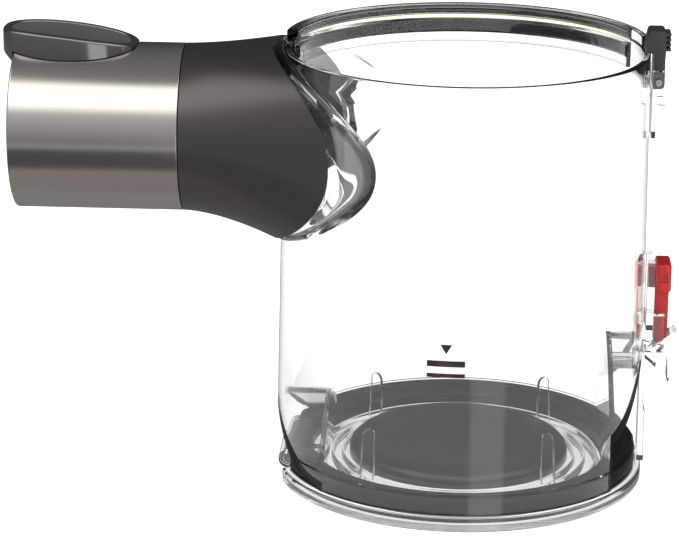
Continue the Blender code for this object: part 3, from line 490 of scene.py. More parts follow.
def make_looks(finish):
    """Every finish, made once and kept by name."""
    looks = {
        "clear": look("clear_polycarbonate", finish.clear, 0.006, 0.012, amount=0.06,
                      second=(0.96, 0.97, 0.98), grain=260.0, coarse=0.8,
                      bump_distance=0.01, patch=35.0, Transmission_Weight=1.0, IOR=1.585),
        "nickel": look("nickel_paint", finish.nickel, 0.19, 0.03, 0.95, amount=0.25, tone_scale=2500.0,
                       grain=5000.0, coarse=0.1, bump=0.03, bump_distance=0.01),
        "graphite": look("graphite_paint", finish.graphite, 0.30, 0.05, 0.75, amount=0.35,
                         tone_scale=2500.0, grain=5000.0, coarse=0.1, bump=0.04, bump_distance=0.01),
        "gloss": look("dark_gloss_plastic", finish.gloss, 0.12, 0.03, 0.85, grain=700.0, coarse=0.7,
                      Coat_Weight=0.6, Coat_Roughness=0.06),
        "satin": look("satin_grey_plastic", finish.satin, 0.24, 0.05, 0.7, grain=4000.0, bump=0.06),
        "dark": look("dark_grey_plastic", finish.dark, 0.42, 0.08, grain=2600.0, bump=0.25,
                     bump_distance=0.04),
        "rubber": look("black_rubber", finish.rubber, 0.34, 0.08, amount=0.4, second=(0.012, 0.012, 0.013),
                       tone_scale=120.0, grain=1800.0, bump=0.04, patch=45.0,
                       Specular_IOR_Level=0.3),
        "dome": look("dome_rubber", finish.rubber, 0.30, 0.06, amount=0.5, second=(0.02, 0.02, 0.021),
                     tone_scale=90.0, grain=1500.0, bump=0.04, patch=30.0,
                     Specular_IOR_Level=0.6),
        "red": look("red_plastic", finish.red, 0.30, 0.06, grain=2200.0, bump=0.12,
                    bump_distance=0.03, Subsurface_Weight=0.05),
        "steel": look("steel", finish.steel, 0.25, 0.06, 1.0, grain=3000.0, bump=0.10),
        "brass": look("brass", finish.brass, 0.28, 0.06, 1.0, grain=3000.0, bump=0.10),
        "ink": look("printed_ink", finish.ink, 0.45, 0.05, grain=3000.0, bump=0.10),
    }
    # The rail's look has painted reflections: dark and light bands by height in its colour
    looks["rail"] = with_painted_reflections(looks["clear"], "rail_painted_reflections")
    return looks


# The rail's painted reflections: dark bands and light highlight bands that stand in for the room seen in
# its steps, as (height under its top in millimetres, colour)
PAINTED_REFLECTION_BANDS = (
    (12.2, (0.55, 0.56, 0.58)), (10.6, (0.95, 0.95, 0.95)), (9.0, (0.95, 0.95, 0.95)),
    (8.6, (0.02, 0.02, 0.02)), (5.2, (0.02, 0.02, 0.02)), (4.6, (0.95, 0.92, 0.80)),
    (2.9, (0.95, 0.92, 0.80)), (2.6, (0.02, 0.02, 0.02)), (1.9, (0.02, 0.02, 0.02)),
    (1.7, (0.9, 0.9, 0.9)), (1.4, (0.03, 0.03, 0.03)), (0.3, (0.03, 0.03, 0.03)), (0.1, (0.9, 0.9, 0.9)),
)


def with_painted_reflections(clear, name):
    """The clear plastic without its grain, with painted reflections: dark and light bands by height that
    follow the rail's steps.
    """
    made = clear.copy()
    made.name = name
    tree = made.node_tree
    parts = add_node(tree, "ShaderNodeSeparateXYZ", {0: object_place(tree)})
    span = PAINTED_REFLECTION_BANDS[0][0] * MM
    height = between(tree, parts.outputs["Z"], WALL_HIGH.z - span, WALL_HIGH.z, "LINEAR")
    # Painted reflections and highlights: the colour of each band by height
    tones = ramp(tree, height, [(1 - 2 * depth * MM / span, tone) for depth, tone in PAINTED_REFLECTION_BANDS])
    tree.links.new(tones, tree.nodes["Principled BSDF"].inputs["Base Color"])
    tree.nodes["Bump"].inputs["Strength"].default_value = 0.0
    return made


LOOKS = {}  # filled by the operator for finishes


def wall_radius(s, z):
    """The wall's outer radius, which draws in towards the top."""
    return s.bottom_radius + (s.top_radius - s.bottom_radius) * z / s.height


# Operators


class BinOperator(bpy.types.Operator):
    """Common part of the operators."""

    bl_options = {"REGISTER", "UNDO"}

    def execute(self, context):
        self.build(context.scene.bin_sizes, context.scene.bin_finishes)
        return {"FINISHED"}


class BIN_OT_finishes(BinOperator):
    """Make the materials"""

    bl_idname = "bin.finishes"
    bl_label = "Finishes"

    def build(self, s, finish):
        LOOKS.update(make_looks(finish))


WALL_FOOT = 5.0 * MM
REBATE_TOP = 10.5 * MM
REBATE = 0.5 * MM
POCKET_WALL = 1.6 * MM
HINGE_POCKET = {"reach": 41.0 * MM, "half_width": 38.0 * MM, "foot": 6.0 * MM, "top": 22.0 * MM}
CATCH_POCKET = {"reach": 45.7 * MM, "half_width": 33.0 * MM, "foot": 20.0 * MM, "top": 43.0 * MM}
LEDGE_TOP = 36.8 * MM
LEDGE_REACH = 54.1 * MM
LEDGE_HALF_WIDTH = 5.0 * MM
LEDGE_THICKNESS = 2.5 * MM
PORT_HALF_WIDTH = 40.0 * MM
PORT = (78.0 * MM, 121.0 * MM)
HINGE_X = (PIN_LOW.x + PIN_HIGH.x) / 2
HINGE_Z = (PIN_LOW.z + PIN_HIGH.z) / 2
PIN_HOLE_R = (PIN_HIGH.z - PIN_LOW.z) / 2 + 0.1 * MM
EYE_R = 3.0 * MM
EAR_WIDTH = 4.0 * MM
KNUCKLE = PIN_HIGH.y - EAR_WIDTH - GAP


class BIN_OT_wall(BinOperator):
    """Make the clear wall with its two dents, its hinge ears and its port"""

    bl_idname = "bin.wall"
    bl_label = "Clear wall"

    def profile(self, s):
        inner_foot = wall_radius(s, REBATE_TOP) - s.wall
        return divided(rounded([
            (wall_radius(s, WALL_FOOT), WALL_FOOT, 0.3 * MM),
            (s.top_radius, s.height, 0.5 * MM),
            (s.top_radius - s.wall, s.height, 0.5 * MM),
            (inner_foot, REBATE_TOP + 0.5 * MM, 0.2 * MM),
            (inner_foot + REBATE, REBATE_TOP, 0.2 * MM),
            (wall_radius(s, WALL_FOOT) - s.wall + REBATE, WALL_FOOT, 0.3 * MM),
        ]))

    def dent(self, s, wall, name, side, reach, half_width, foot, top):
        outer = bell(half_width + POCKET_WALL, foot + POCKET_WALL, top + POCKET_WALL)
        low, high = sorted((side * (reach - POCKET_WALL), side * 2 * s.bottom_radius))
        body = prism(name, outer, low, high, "X")
        within = wall_radius(s, WALL_FOOT) - s.wall / 2
        limit = rod("limit", within, WALL_FOOT, s.height / 2, "Z", sides=FINE)
        combined(body, limit, "INTERSECT")
        combined(wall, body, "UNION")
        low, high = sorted((side * reach, side * 2 * s.bottom_radius))
        combined(wall, prism("hollow", bell(half_width, foot, top), low, high, "X"), "DIFFERENCE")

    def build(self, s, finish):
        wall = turned("clear_wall", self.profile(s), LOOKS["clear"])
        half_height = (PORT[1] - PORT[0]) / 2
        port = oval(PORT_HALF_WIDTH, half_height, (0, PORT[0] + half_height))
        combined(wall, prism("port", port, -2 * s.bottom_radius, -s.bottom_radius / 4, "X"), "DIFFERENCE")
        self.dent(s, wall, "hinge_dent", -1, **HINGE_POCKET)
        self.dent(s, wall, "catch_dent", 1, **CATCH_POCKET)
        ledge_x = (CATCH_POCKET["reach"] - POCKET_WALL / 2, LEDGE_REACH)
        ledge = block("ledge", ledge_x, (-LEDGE_HALF_WIDTH, LEDGE_HALF_WIDTH),
                      (LEDGE_TOP - LEDGE_THICKNESS, LEDGE_TOP))
        combined(wall, softened(ledge, 0.4 * MM), "UNION")
        arm = -HINGE_POCKET["reach"] + POCKET_WALL / 2
        ear = arc((HINGE_X, HINGE_Z), EYE_R, 90, 300, 40) + [
            (HINGE_X + EYE_R + GAP, WALL_FOOT + GAP),
            (arm, WALL_FOOT + GAP),
            (arm, HINGE_Z + EYE_R),
        ]
        for side in (-1, 1):
            inner = side * (KNUCKLE + GAP)
            low, high = sorted((inner, inner + side * EAR_WIDTH))
            combined(wall, prism("ear", ear, low, high, "Y"), "UNION")
        reach = KNUCKLE + 2 * EAR_WIDTH
        hole = rod("hole", PIN_HOLE_R, -reach, reach, "Y", (HINGE_X, HINGE_Z))
        combined(wall, hole, "DIFFERENCE")
        placed(wall, "bin", "clear_plastic", "bin_wall")


# The rail's inner steps in millimetres, as (start, end, depth) with both heights under its top
RAIL_STEPS = ((0.0, 1.5, 1.3), (1.7, 2.6, 1.0), (2.8, 4.6, 0.2), (4.9, 8.4, 2.0), (8.7, 12.0, 1.4))
STEP_SLOPE = 0.15
RAIL_ARC = (19, 174)  # degrees from the latch round the far side
EDGE_ARC = (6.5, 18.9)


class BIN_OT_rim(BinOperator):
    """Make the higher, stepped rail on the rim's far half"""

    bl_idname = "bin.rim"
    bl_label = "Rim rail"

    def build(self, s, finish):
        seat = s.height + 0.1 * MM
        top = s.height + s.rail_rise
        outer = s.top_radius - 0.05 * MM
        back = s.top_radius - s.wall - 0.1 * MM
        head = [(back, seat, 0.05 * MM), (outer, seat, 0.3 * MM), (outer, top, 0.6 * MM)]
        bore = []
        for start, end, depth in RAIL_STEPS:
            for under in (start + STEP_SLOPE, end - STEP_SLOPE):
                bore.append((back - depth * MM, top - under * MM, 0.25 * MM))
        bore[0] = (bore[0][0], top, 0.5 * MM)
        foot = [(back, top - RAIL_STEPS[-1][1] * MM, 0.1 * MM)]
        # The rail's look carries painted reflections, dark and light bands by height
        rail = swept("rim_rail", rounded(head + bore + foot), *RAIL_ARC, 310, LOOKS["rail"])
        placed(rail, "bin", "clear_plastic")
        edge = rounded(head + [(back, top, 0.6 * MM)])
        placed(swept("rim_edge", edge, *EDGE_ARC, 26, LOOKS["clear"]), "bin", "clear_plastic")


NECK_FLARE = 1.6
TUBE_WALL = 2.0 * MM
BORE_R = 19.0 * MM
DUCT_WALL = 1.6 * MM
DUCT_FLANGE = 2.5 * MM
COLLAR_THICKNESS = 2.2 * MM
COLLAR_MARGIN = 6.0 * MM
COLLAR_EDGE = 0.3  # share of the thickness that is left at the collar's edges
COLLAR_POINTS = 200
COLLAR_STEPS = 16


def collar_radius(s):
    return wall_radius(s, s.foot_height - s.foot_half_height) + GAP + COLLAR_THICKNESS


class BIN_OT_collar(BinOperator):
    """Make the clear collar round the port"""

    bl_idname = "bin.collar"
    bl_label = "Port collar"

    def point(self, s, start, end, i, lift):
        """A point on the way between two others, off the wall by a share of the thickness."""
        y, z = (a + (b - a) * i / COLLAR_STEPS for a, b in zip(start, end))
        seat = wall_radius(s, z) + GAP
        r = seat + (collar_radius(s) - seat) * lift
        return (-math.sqrt(r**2 - y**2), y, z)

    def build(self, s, finish):
        half_height = (PORT[1] - PORT[0]) / 2
        hole = oval(PORT_HALF_WIDTH, half_height, (0, PORT[0] + half_height), points=COLLAR_POINTS)
        rim = oval(s.foot_half_width + COLLAR_MARGIN, s.foot_half_height, (0, s.foot_height),
                   points=COLLAR_POINTS)
        bulge = [math.sin(math.pi * i / COLLAR_STEPS) ** 0.5 for i in range(COLLAR_STEPS + 1)]
        lifts = [COLLAR_EDGE + (1 - COLLAR_EDGE) * share for share in bulge]
        loops = []
        for start, end in zip(hole, rim):
            back = [self.point(s, start, end, i, 0.0) for i in range(COLLAR_STEPS + 1)]
            front = [self.point(s, start, end, i, lift) for i, lift in enumerate(lifts)]
            loops.append(back + front[::-1])
        collar = skinned("clear_collar", loops, LOOKS["clear"])
        placed(collar, "bin", "clear_plastic", "port_collar")


class BIN_OT_inlet(BinOperator):
    """Make the inlet's bright sleeve, its flared neck and its dark duct"""

    bl_idname = "bin.inlet"
    bl_label = "Inlet"

    def neck_point(self, s, angle, along, inset):
        sine, cosine = math.sin(angle), math.cos(angle)
        start_y = (s.tube_radius - inset) * sine
        start_z = s.tube_height + (s.tube_radius - inset) * cosine
        foot_y = (s.foot_half_width - inset) * math.copysign(abs(sine) ** (2 / ROUNDNESS), sine)
        rise = (s.foot_half_height - inset) * math.copysign(abs(cosine) ** (2 / ROUNDNESS), cosine)
        foot_r = collar_radius(s) + GAP
        foot_x = -math.sqrt(foot_r**2 - foot_y**2)
        share = along**NECK_FLARE
        return Vector((
            NECK_LOW.x + (foot_x - NECK_LOW.x) * along,
            start_y + (foot_y - start_y) * share,
            start_z + (s.foot_height + rise - start_z) * share,
        ))

    def build(self, s, finish):
        loops = []
        steps = 40
        shares = [0.5 * (1 - math.cos(math.pi * i / steps)) for i in range(steps + 1)]
        for inset, order in ((0.0, shares), (TUBE_WALL, reversed(shares))):
            for share in order:
                loops.append([self.neck_point(s, math.tau * i / TUBE_SIDES, share, inset)
                              for i in range(TUBE_SIDES)])
        neck = skinned("flared_neck", loops, LOOKS["graphite"], sharp=50)
        neck.data.materials.append(LOOKS["dark"])
        for face in neck.data.polygons:
            face.material_index = int(face.index >= steps * TUBE_SIDES)
        placed(softened(neck, 0.25 * MM, 2), "bin", "graphite_paint", "inlet_neck")
        end, seam = SLEEVE_LOW.x, SLEEVE_HIGH.x
        inner = s.tube_radius - TUBE_WALL
        section = rounded([
            (inner, end, 0.2 * MM),
            (s.tube_radius, end, 0.7 * MM),
            (s.tube_radius, seam, 0.25 * MM),
            (inner, seam, 0.1 * MM),
        ], 6)
        sleeve = along_x(turned("bright_sleeve", section, LOOKS["nickel"], TUBE_SIDES), s.tube_height)
        placed(sleeve, "bin", "nickel_paint", "inlet_sleeve")
        flange = inner - GAP
        right = FRAME_LOW.x - GAP
        duct_r = BORE_R + DUCT_WALL
        section = rounded([
            (BORE_R, end, 0.5 * MM),
            (flange, end, 0.3 * MM),
            (flange, end + DUCT_FLANGE, 0.1 * MM),
            (duct_r, end + DUCT_FLANGE, 0.1 * MM),
            (duct_r, right, 0.2 * MM),
            (BORE_R, right, 0.2 * MM),
        ])
        duct = along_x(turned("air_duct", section, LOOKS["dark"], TUBE_SIDES), s.tube_height)
        placed(duct, "bin", "dark_plastic", "inlet_duct")


class BIN_OT_hood(BinOperator):
    """Make the oval gloss hood and its satin plate"""

    bl_idname = "bin.hood"
    bl_label = "Hood"

    rise = 4.9 * MM
    drop = 4.4 * MM
    lip = 2.4 * MM
    recess = 0.9 * MM
    points = 144
    end_power, side_power = 0.9, 0.72  # 1 is an ellipse, and less is fuller

    def top(self, s, x):
        along = (x - HOOD_LOW.x) / (HOOD_HIGH.x - HOOD_LOW.x)
        return s.tube_height + s.tube_radius + self.rise - self.drop * along**2

    def bottom(self, s, x):
        return s.tube_height + s.tube_radius - 5 * MM + 0.7 * max(0.0, SLEEVE_LOW.x - x)

    def stack(self, name, levels, material):
        half_length = (HOOD_HIGH.x - HOOD_LOW.x) / 2
        middle = HOOD_LOW.x + half_length
        loops = []
        for inset, height in levels:
            loop = []
            for i in range(self.points):
                angle = math.tau * i / self.points
                c, sine = math.cos(angle), math.sin(angle)
                x = middle + (half_length - inset) * math.copysign(abs(c) ** self.end_power, c)
                y = (HOOD_HIGH.y - inset) * math.copysign(abs(sine) ** self.side_power, sine)
                loop.append((x, y, height(x)))
            loops.append(loop)
        return skinned(name, loops, material, closed=False, capped=True, sharp=50)

    def build(self, s, finish):
        edge = 0.9 * MM
        steps = 6
        levels = [(0.5 * MM, lambda x: self.bottom(s, x)), (0.0, lambda x: self.bottom(s, x) + 0.5 * MM)]
        for i in range(steps + 1):
            angle = math.pi / 2 * i / steps
            inset = edge * (1 - math.cos(angle))
            levels.append((inset, lambda x, a=angle: self.top(s, x) - edge * (1 - math.sin(a))))
        levels += [
            (self.lip - 0.5 * MM, lambda x: self.top(s, x)),
            (self.lip - 0.15 * MM, lambda x: self.top(s, x) - 0.15 * MM),
            (self.lip, lambda x: self.top(s, x) - 0.5 * MM),
            (self.lip, lambda x: self.top(s, x) - self.recess),
        ]
        hood = self.stack("gloss_hood", levels, LOOKS["gloss"])
        seat = rod("seat", s.tube_radius + GAP, SLEEVE_LOW.x - GAP, 0, "X", (0, s.tube_height),
                   sides=TUBE_SIDES)
        combined(hood, seat, "DIFFERENCE", 50)
        placed(hood, "bin", "dark_gloss", "latch_hood")
        inset = self.lip + 0.12 * MM
        levels = [(inset, lambda x: self.top(s, x) - self.recess + 0.05 * MM)]
        rings = 11
        for i in range(rings + 1):
            share = i / rings
            reach = inset + share * (HOOD_HIGH.y - inset) * 0.93
            dish = 0.5 * MM * (1 - (1 - share) ** 2)
            levels.append((reach, lambda x, d=dish: self.top(s, x) - 0.35 * MM - d))
        plate = self.stack("satin_plate", levels, LOOKS["satin"])
        placed(plate, "bin", "satin_grey", "hood_plate")


BASE_FLOOR = 2.4 * MM
BASE_TOP = 4.2 * MM
FLANGE_TOP = 4.4 * MM
SEAL_BED = 2.0 * MM
BASE_LEFT = HINGE_X + EYE_R + 1.2 * MM
CLEARING = PIN_HIGH.y + 2.5 * MM
BOSS_R = 9.0 * MM
RIBS = (35.0 * MM, 38.2 * MM, 42.0 * MM)
RIB_HEIGHT = 2.0 * MM
FIN = (35.2 * MM, 40.8 * MM)
FIN_TOP = 21.0 * MM
SEAL_WIDTH = 9.4 * MM
SEAL_BED_WIDTH = 10.0 * MM
SEAL_FLAT = 4.6 * MM
DOME_R = 33.5 * MM


class BIN_OT_base(BinOperator):
    """Make the hinged clear base with its fins, its seal and its dome"""

    bl_idname = "bin.base"
    bl_label = "Base"

    def seal_reach(self, angle, inset):
        limit = SEAL_HIGH.y - inset
        across = math.cos(angle)
        flat_inset = inset * SEAL_FLAT / SEAL_WIDTH
        if across > 0:
            return min(limit, (SEAL_HIGH.x - flat_inset) / across)
        if across < 0:
            return min(limit, (SEAL_LOW.x + flat_inset) / across)
        return limit

    def plate(self, s):
        r = s.bottom_radius
        bed = SEAL_HIGH.y - SEAL_BED_WIDTH
        edge = 0.6 * MM
        corners = [
            (0.0, 0.0, 0),
            (BOSS_R, 0.0, 0.4 * MM),
            (BOSS_R, BASE_FLOOR, 0.3 * MM),
            (bed - 1.0 * MM, BASE_FLOOR, 0.3 * MM),
            (bed - 1.0 * MM, 0.0, 0.4 * MM),
            (r, 0.0, edge),
            (r, FLANGE_TOP, edge),
            (SEAL_HIGH.y + GAP, FLANGE_TOP, 0.2 * MM),
            (SEAL_HIGH.y + GAP, SEAL_BED, 0.1 * MM),
            (bed, SEAL_BED, 0.1 * MM),
            (bed, BASE_TOP, 0.2 * MM),
        ]
        for radius in reversed(RIBS):
            corners += [
                (radius + 0.8 * MM, BASE_TOP, 0.2 * MM),
                (radius + 0.7 * MM, BASE_TOP + RIB_HEIGHT, 0.25 * MM),
                (radius + 0.1 * MM, BASE_TOP + RIB_HEIGHT, 0.25 * MM),
                (radius, BASE_TOP, 0.2 * MM),
            ]
        corners.append((0.0, BASE_TOP, 0))
        plate = turned("clear_base", rounded(corners), LOOKS["clear"])
        far = 2 * r
        left = BASE_LEFT
        combined(plate, block("cut", (-far, left), (-CLEARING, CLEARING), (-far, far)), "DIFFERENCE")
        bed = (BASE_TOP + 0.25 * MM, SEAL_HIGH.z)
        bed_left = SEAL_LOW.x + SEAL_FLAT + 2 * GAP
        bed_right = SEAL_HIGH.x - SEAL_FLAT - 2 * GAP
        combined(plate, block("cut", (-far, bed_left), (-far, far), bed), "DIFFERENCE")
        combined(plate, block("cut", (bed_right, far), (-far, far), bed), "DIFFERENCE")
        knuckle = arc((HINGE_X, HINGE_Z), EYE_R, 40, 270, 40) + [
            (left + MM, SEAL_BED / 2),
            (left + 4 * MM, SEAL_BED / 2),
            (left + 4 * MM, BASE_TOP + GAP),
            (left + MM, BASE_TOP + GAP),
        ]
        combined(plate, prism("knuckle", knuckle, -KNUCKLE, KNUCKLE, "Y"), "UNION")
        hole = rod("hole", PIN_HOLE_R, -2 * KNUCKLE, 2 * KNUCKLE, "Y", (HINGE_X, HINGE_Z))
        combined(plate, hole, "DIFFERENCE")
        placed(plate, "base_flap", "clear_plastic", "base_plate")

    def fins(self, s):
        inner, outer = FIN
        foot = BASE_TOP + 0.02 * MM
        round_r = (outer - inner) * 0.42
        outline = [(inner, foot), (outer, foot)]
        outline += arc((inner + round_r, FIN_TOP - round_r), round_r, 25, 180, 24)
        fin = softened(prism("clear_fins", outline, -0.5 * MM, 0.5 * MM, "Y", LOOKS["clear"]), 0.2 * MM)
        repeated(fin, LOOKS["clear"], s.fins, first=math.radians(45), turn=math.tau / s.fins)
        placed(fin, "base_flap", "clear_plastic")

    def build(self, s, finish):
        self.plate(s)
        self.fins(s)
        low, top = BASE_TOP + GAP, SEAL_HIGH.z
        section = rounded([
            (0.9 * MM, low, 0.3 * MM),
            (0.0, low + 0.9 * MM, 0.3 * MM),
            (0.0, top - 0.9 * MM, 0.5 * MM),
            (0.9 * MM, top, 0.6 * MM),
            (2.6 * MM, top, 0.8 * MM),
            (4.0 * MM, top - 1.3 * MM, 0.9 * MM),
            (SEAL_WIDTH - 1.2 * MM, top - 1.5 * MM, 0.8 * MM),
            (SEAL_WIDTH, top - 2.6 * MM, 0.6 * MM),
            (SEAL_WIDTH, low, 0.3 * MM),
        ])
        seal = turned("rubber_seal", section, LOOKS["rubber"], 360, self.seal_reach)
        inner, outer = SEAL_HIGH.y - SEAL_BED_WIDTH + GAP, SEAL_HIGH.y - GAP / 2
        ring = turned("ring", rounded([
            (inner, SEAL_LOW.z, 0.3 * MM),
            (outer, SEAL_LOW.z, 0.3 * MM),
            (outer, WALL_FOOT - GAP, 0.3 * MM),
            (inner, WALL_FOOT - GAP, 0.3 * MM),
        ]), sides=360)
        half = CLEARING + GAP
        combined(ring, block("cut", (-2 * s.bottom_radius, 0), (-half, half), (0, top)), "DIFFERENCE")
        combined(seal, ring, "UNION", 40)
        placed(seal, "base_flap", "black_rubber", "base_seal")
        low, height = DOME_LOW.z, DOME_HIGH.z - DOME_LOW.z
        section = [(0.0, low), (DOME_R - 0.4 * MM, low), (DOME_R, low + 0.4 * MM)]
        skirt = 0.30 * height
        steps = 40
        for i in range(steps + 1):
            angle = math.pi / 2 * i / steps
            section.append((DOME_R * math.cos(angle) ** 0.5,
                            low + skirt + (height - skirt) * math.sin(angle)))
        section[-1] = (0.0, low + height)
        dome = turned("rubber_dome", section, LOOKS["dome"], 256, sharp=60)
        placed(dome, "base_flap", "black_rubber", "dome_pad")


CATCH_TOOTH = 1.4 * MM
CATCH_ARM = 1.5 * MM
SLIDER_DEPTH = 4.7 * MM
SLIDER_HALF_WIDTH = 3.6 * MM
SLIDER_HEAD = 8.7 * MM


class BIN_OT_release(BinOperator):
    """Make the red slider and the base's clear catch"""

    bl_idname = "bin.release"
    bl_label = "Release"

    def catch(self):
        left = CATCH_LOW.x + CATCH_TOOTH
        right = left + CATCH_ARM
        low = CATCH_LOW.z
        ledge = LEDGE_TOP + GAP
        ramp_foot = (left + 1.2 * MM, CATCH_HIGH.z - 6.7 * MM)
        ramp_top = (CATCH_HIGH.x - 1.0 * MM, CATCH_HIGH.z)
        outline = rounded([
            (left, low, 0.2 * MM),
            (right + 0.6 * MM, low, 0.2 * MM),
            (right + 0.6 * MM, low + 15.8 * MM, 0.4 * MM),
            (right, low + 16.4 * MM, 0.4 * MM),
            (right, ramp_foot[1] - 2.0 * MM, 0.3 * MM),
            (right + 3.2 * MM, ramp_foot[1] - 4.8 * MM, 0.2 * MM),
            (right + 3.4 * MM, ramp_foot[1] - 0.4 * MM, 0.3 * MM),
            (ramp_top[0] - 2.6 * MM, ramp_top[1] - 4.6 * MM, 0.8 * MM),
            (ramp_top[0] - 1.5 * MM, ramp_top[1] - 9.3 * MM, 0.8 * MM),
            (ramp_top[0] - 1.5 * MM, ramp_top[1] - 16.3 * MM, 0.2 * MM),
            (ramp_top[0] + 0.9 * MM, ramp_top[1] - 12.6 * MM, 0.4 * MM),
            (ramp_top[0] + 1.0 * MM, ramp_top[1] - 0.5 * MM, 0.4 * MM),
            (*ramp_top, 0.3 * MM),
            (*ramp_foot, 0.4 * MM),
            (CATCH_LOW.x, ledge + 1.2 * MM, 0.3 * MM),
            (CATCH_LOW.x, ledge, 0.2 * MM),
            (left, ledge, 0.2 * MM),
        ])
        catch = prism("clear_catch", outline, CATCH_LOW.y, CATCH_HIGH.y, "Y", LOOKS["clear"])
        placed(softened(catch, 0.25 * MM, 2), "base_catch", "clear_plastic", "base_catch")

    def slider(self):
        inner, outer = SLIDER_HIGH.x - SLIDER_DEPTH, SLIDER_HIGH.x - 0.5 * MM
        top = SLIDER_HIGH.z
        outline = rounded([
            (inner, SLIDER_LOW.z + 1.0 * MM, 0.3 * MM),
            (inner + 0.9 * MM, SLIDER_LOW.z, 0.2 * MM),
            (outer, SLIDER_LOW.z + 2.2 * MM, 0.5 * MM),
            (outer, top - 1 * MM, 0.3 * MM),
            (inner, top - 1 * MM, 0.3 * MM),
        ])
        stem = prism("red_slider", outline, -SLIDER_HALF_WIDTH, SLIDER_HALF_WIDTH, "Y", LOOKS["red"])
        placed(softened(stem, 0.4 * MM), "release_slider", "red_plastic", "release_slider")
        head = block("slider_head", (inner + 0.2 * MM, SLIDER_HIGH.x), (SLIDER_LOW.y, SLIDER_HIGH.y),
                     (top - SLIDER_HEAD, top), LOOKS["red"])
        softened(head, 0.8 * MM, 4)
        recess = block("recess", (inner + 1.0 * MM, inner + 3.6 * MM), (-9 * MM, SLIDER_LOW.y + 0.5 * MM),
                       (top - 5.6 * MM, top - 3.0 * MM))
        combined(head, recess, "DIFFERENCE")
        placed(head, "release_slider", "red_plastic")
        lug = block("slider_lug", (SLIDER_LOW.x, inner + MM), (-2 * MM, 2 * MM),
                    (top - 7.7 * MM, top - 1 * MM), LOOKS["red"])
        placed(softened(lug, 0.3 * MM), "release_slider", "red_plastic")

    def build(self, s, finish):
        self.catch()
        self.slider()


LATCH_CAP = 6.7 * MM
GRIP_DEPTH = 1.5 * MM


class BIN_OT_latch(BinOperator):
    """Make the dark latch and its row of grip teeth"""

    bl_idname = "bin.latch"
    bl_label = "Latch"

    def build(self, s, finish):
        inner, outer = LATCH_LOW.x, LATCH_HIGH.x - GRIP_DEPTH
        low, top = LATCH_LOW.z, LATCH_HIGH.z
        cap = top - LATCH_CAP
        leg = (inner + 2.4 * MM, outer - 0.1 * MM)
        outline = rounded([
            (leg[0], low, 0.4 * MM),
            (leg[1], low, 1.3 * MM),
            (leg[1], cap - 1.2 * MM, 0.3 * MM),
            (outer, cap - 0.6 * MM, 0.5 * MM),
            (outer, top, 1.2 * MM),
            (inner + 0.9 * MM, top, 1.2 * MM),
            (inner, top - 4.2 * MM, 1.2 * MM),
            (inner, cap, 0.5 * MM),
            (leg[0], cap, 0.3 * MM),
        ], 6)
        latch = prism("dark_latch", outline, LATCH_LOW.y, LATCH_HIGH.y, "Y", LOOKS["dark"])
        softened(latch, 0.7 * MM, 4)
        pin_low, pin_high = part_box("latch_pin")
        centre = ((pin_low.x + pin_high.x) / 2, (pin_low.z + pin_high.z) / 2)
        radius = (pin_high.z - pin_low.z) / 2 + 0.1 * MM
        hole = rod("hole", radius, 2 * LATCH_LOW.y, 2 * LATCH_HIGH.y, "Y", centre)
        combined(latch, hole, "DIFFERENCE")
        placed(latch, "body_latch", "dark_plastic", "body_latch")
        pitch = (top - cap) / (s.grips + 0.5)
        z = cap + 0.4 * pitch
        width = (LATCH_LOW.y + 0.9 * MM, LATCH_HIGH.y - 0.9 * MM)
        tooth = block("grip_teeth", (outer - 0.3 * MM, LATCH_HIGH.x), width, (z, z + 0.55 * pitch),
                      LOOKS["dark"])
        softened(tooth, 0.3 * MM)
        repeated(tooth, LOOKS["dark"], s.grips, step=(0, 0, pitch))
        placed(tooth, "body_latch", "dark_plastic")


# The fill mark's bars, as (name, height, half their thickness)
BARS = (("fill_bar_upper", 51.2 * MM, 0.9 * MM), ("fill_bar_lower", 47.7 * MM, 0.6 * MM))
BAR_LENGTH = 11.0 * MM
BAR_STEPS = 12
MARK_MIDDLE = -3.8 * MM
POINTER_HEIGHT = 55.5 * MM
POINTER = ((-1.7, 1.4), (0.0, -1.4), (1.7, 1.4))


class BIN_OT_mark(BinOperator):
    """Print the fill mark on the near side of the wall"""

    bl_idname = "bin.mark"
    bl_label = "Fill mark"

    def patch(self, s, name, outline, centre_z):
        """A thin print that follows the wall, from an outline of (across, height)."""
        loops = []
        for lift in (0.03 * MM, 0.07 * MM):
            loop = []
            for across, rise in outline:
                z = centre_z + rise
                r = wall_radius(s, z) + lift
                angle = across / r - math.pi / 2
                loop.append((r * math.cos(angle), r * math.sin(angle), z))
            loops.append(loop)
        made = skinned(name, loops, LOOKS["ink"], closed=False, capped=True)
        return placed(made, "bin", "dark_plastic")

    def build(self, s, finish):
        left = MARK_MIDDLE - BAR_LENGTH / 2
        for name, z, half in BARS:
            low = [(left + BAR_LENGTH * i / BAR_STEPS, -half) for i in range(BAR_STEPS + 1)]
            high = [(u, half) for u, v in reversed(low)]
            self.patch(s, name, low + high, z)
        pointer = [(MARK_MIDDLE + u * MM, v * MM) for u, v in POINTER]
        self.patch(s, "fill_pointer", pointer, POINTER_HEIGHT)


NODE_LOOKS = {
    "clear": ("slider_guide", "latch_guide"),
    "dark": ("port_frame", "front_contact_block", "rear_contact_block"),
    "rubber": ("duct_seal",),
    "steel": ("hinge_pin", "latch_pin"),
    "brass": ("front_contact_1", "front_contact_2", "rear_contact_1", "rear_contact_2",
              "conductor_1", "conductor_2"),
}


class BIN_OT_small_parts(BinOperator):
    """Give the frame's own pins, contacts, brackets and inner parts their finishes"""

    bl_idname = "bin.small_parts"
    bl_label = "Small parts"

    def build(self, s, finish):
        for name, nodes in NODE_LOOKS.items():
            for node in nodes:
                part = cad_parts[node]
                part.data.materials.clear()
                part.data.materials.append(LOOKS[name])
                part.visible_shadow = name != "clear"


# Studio


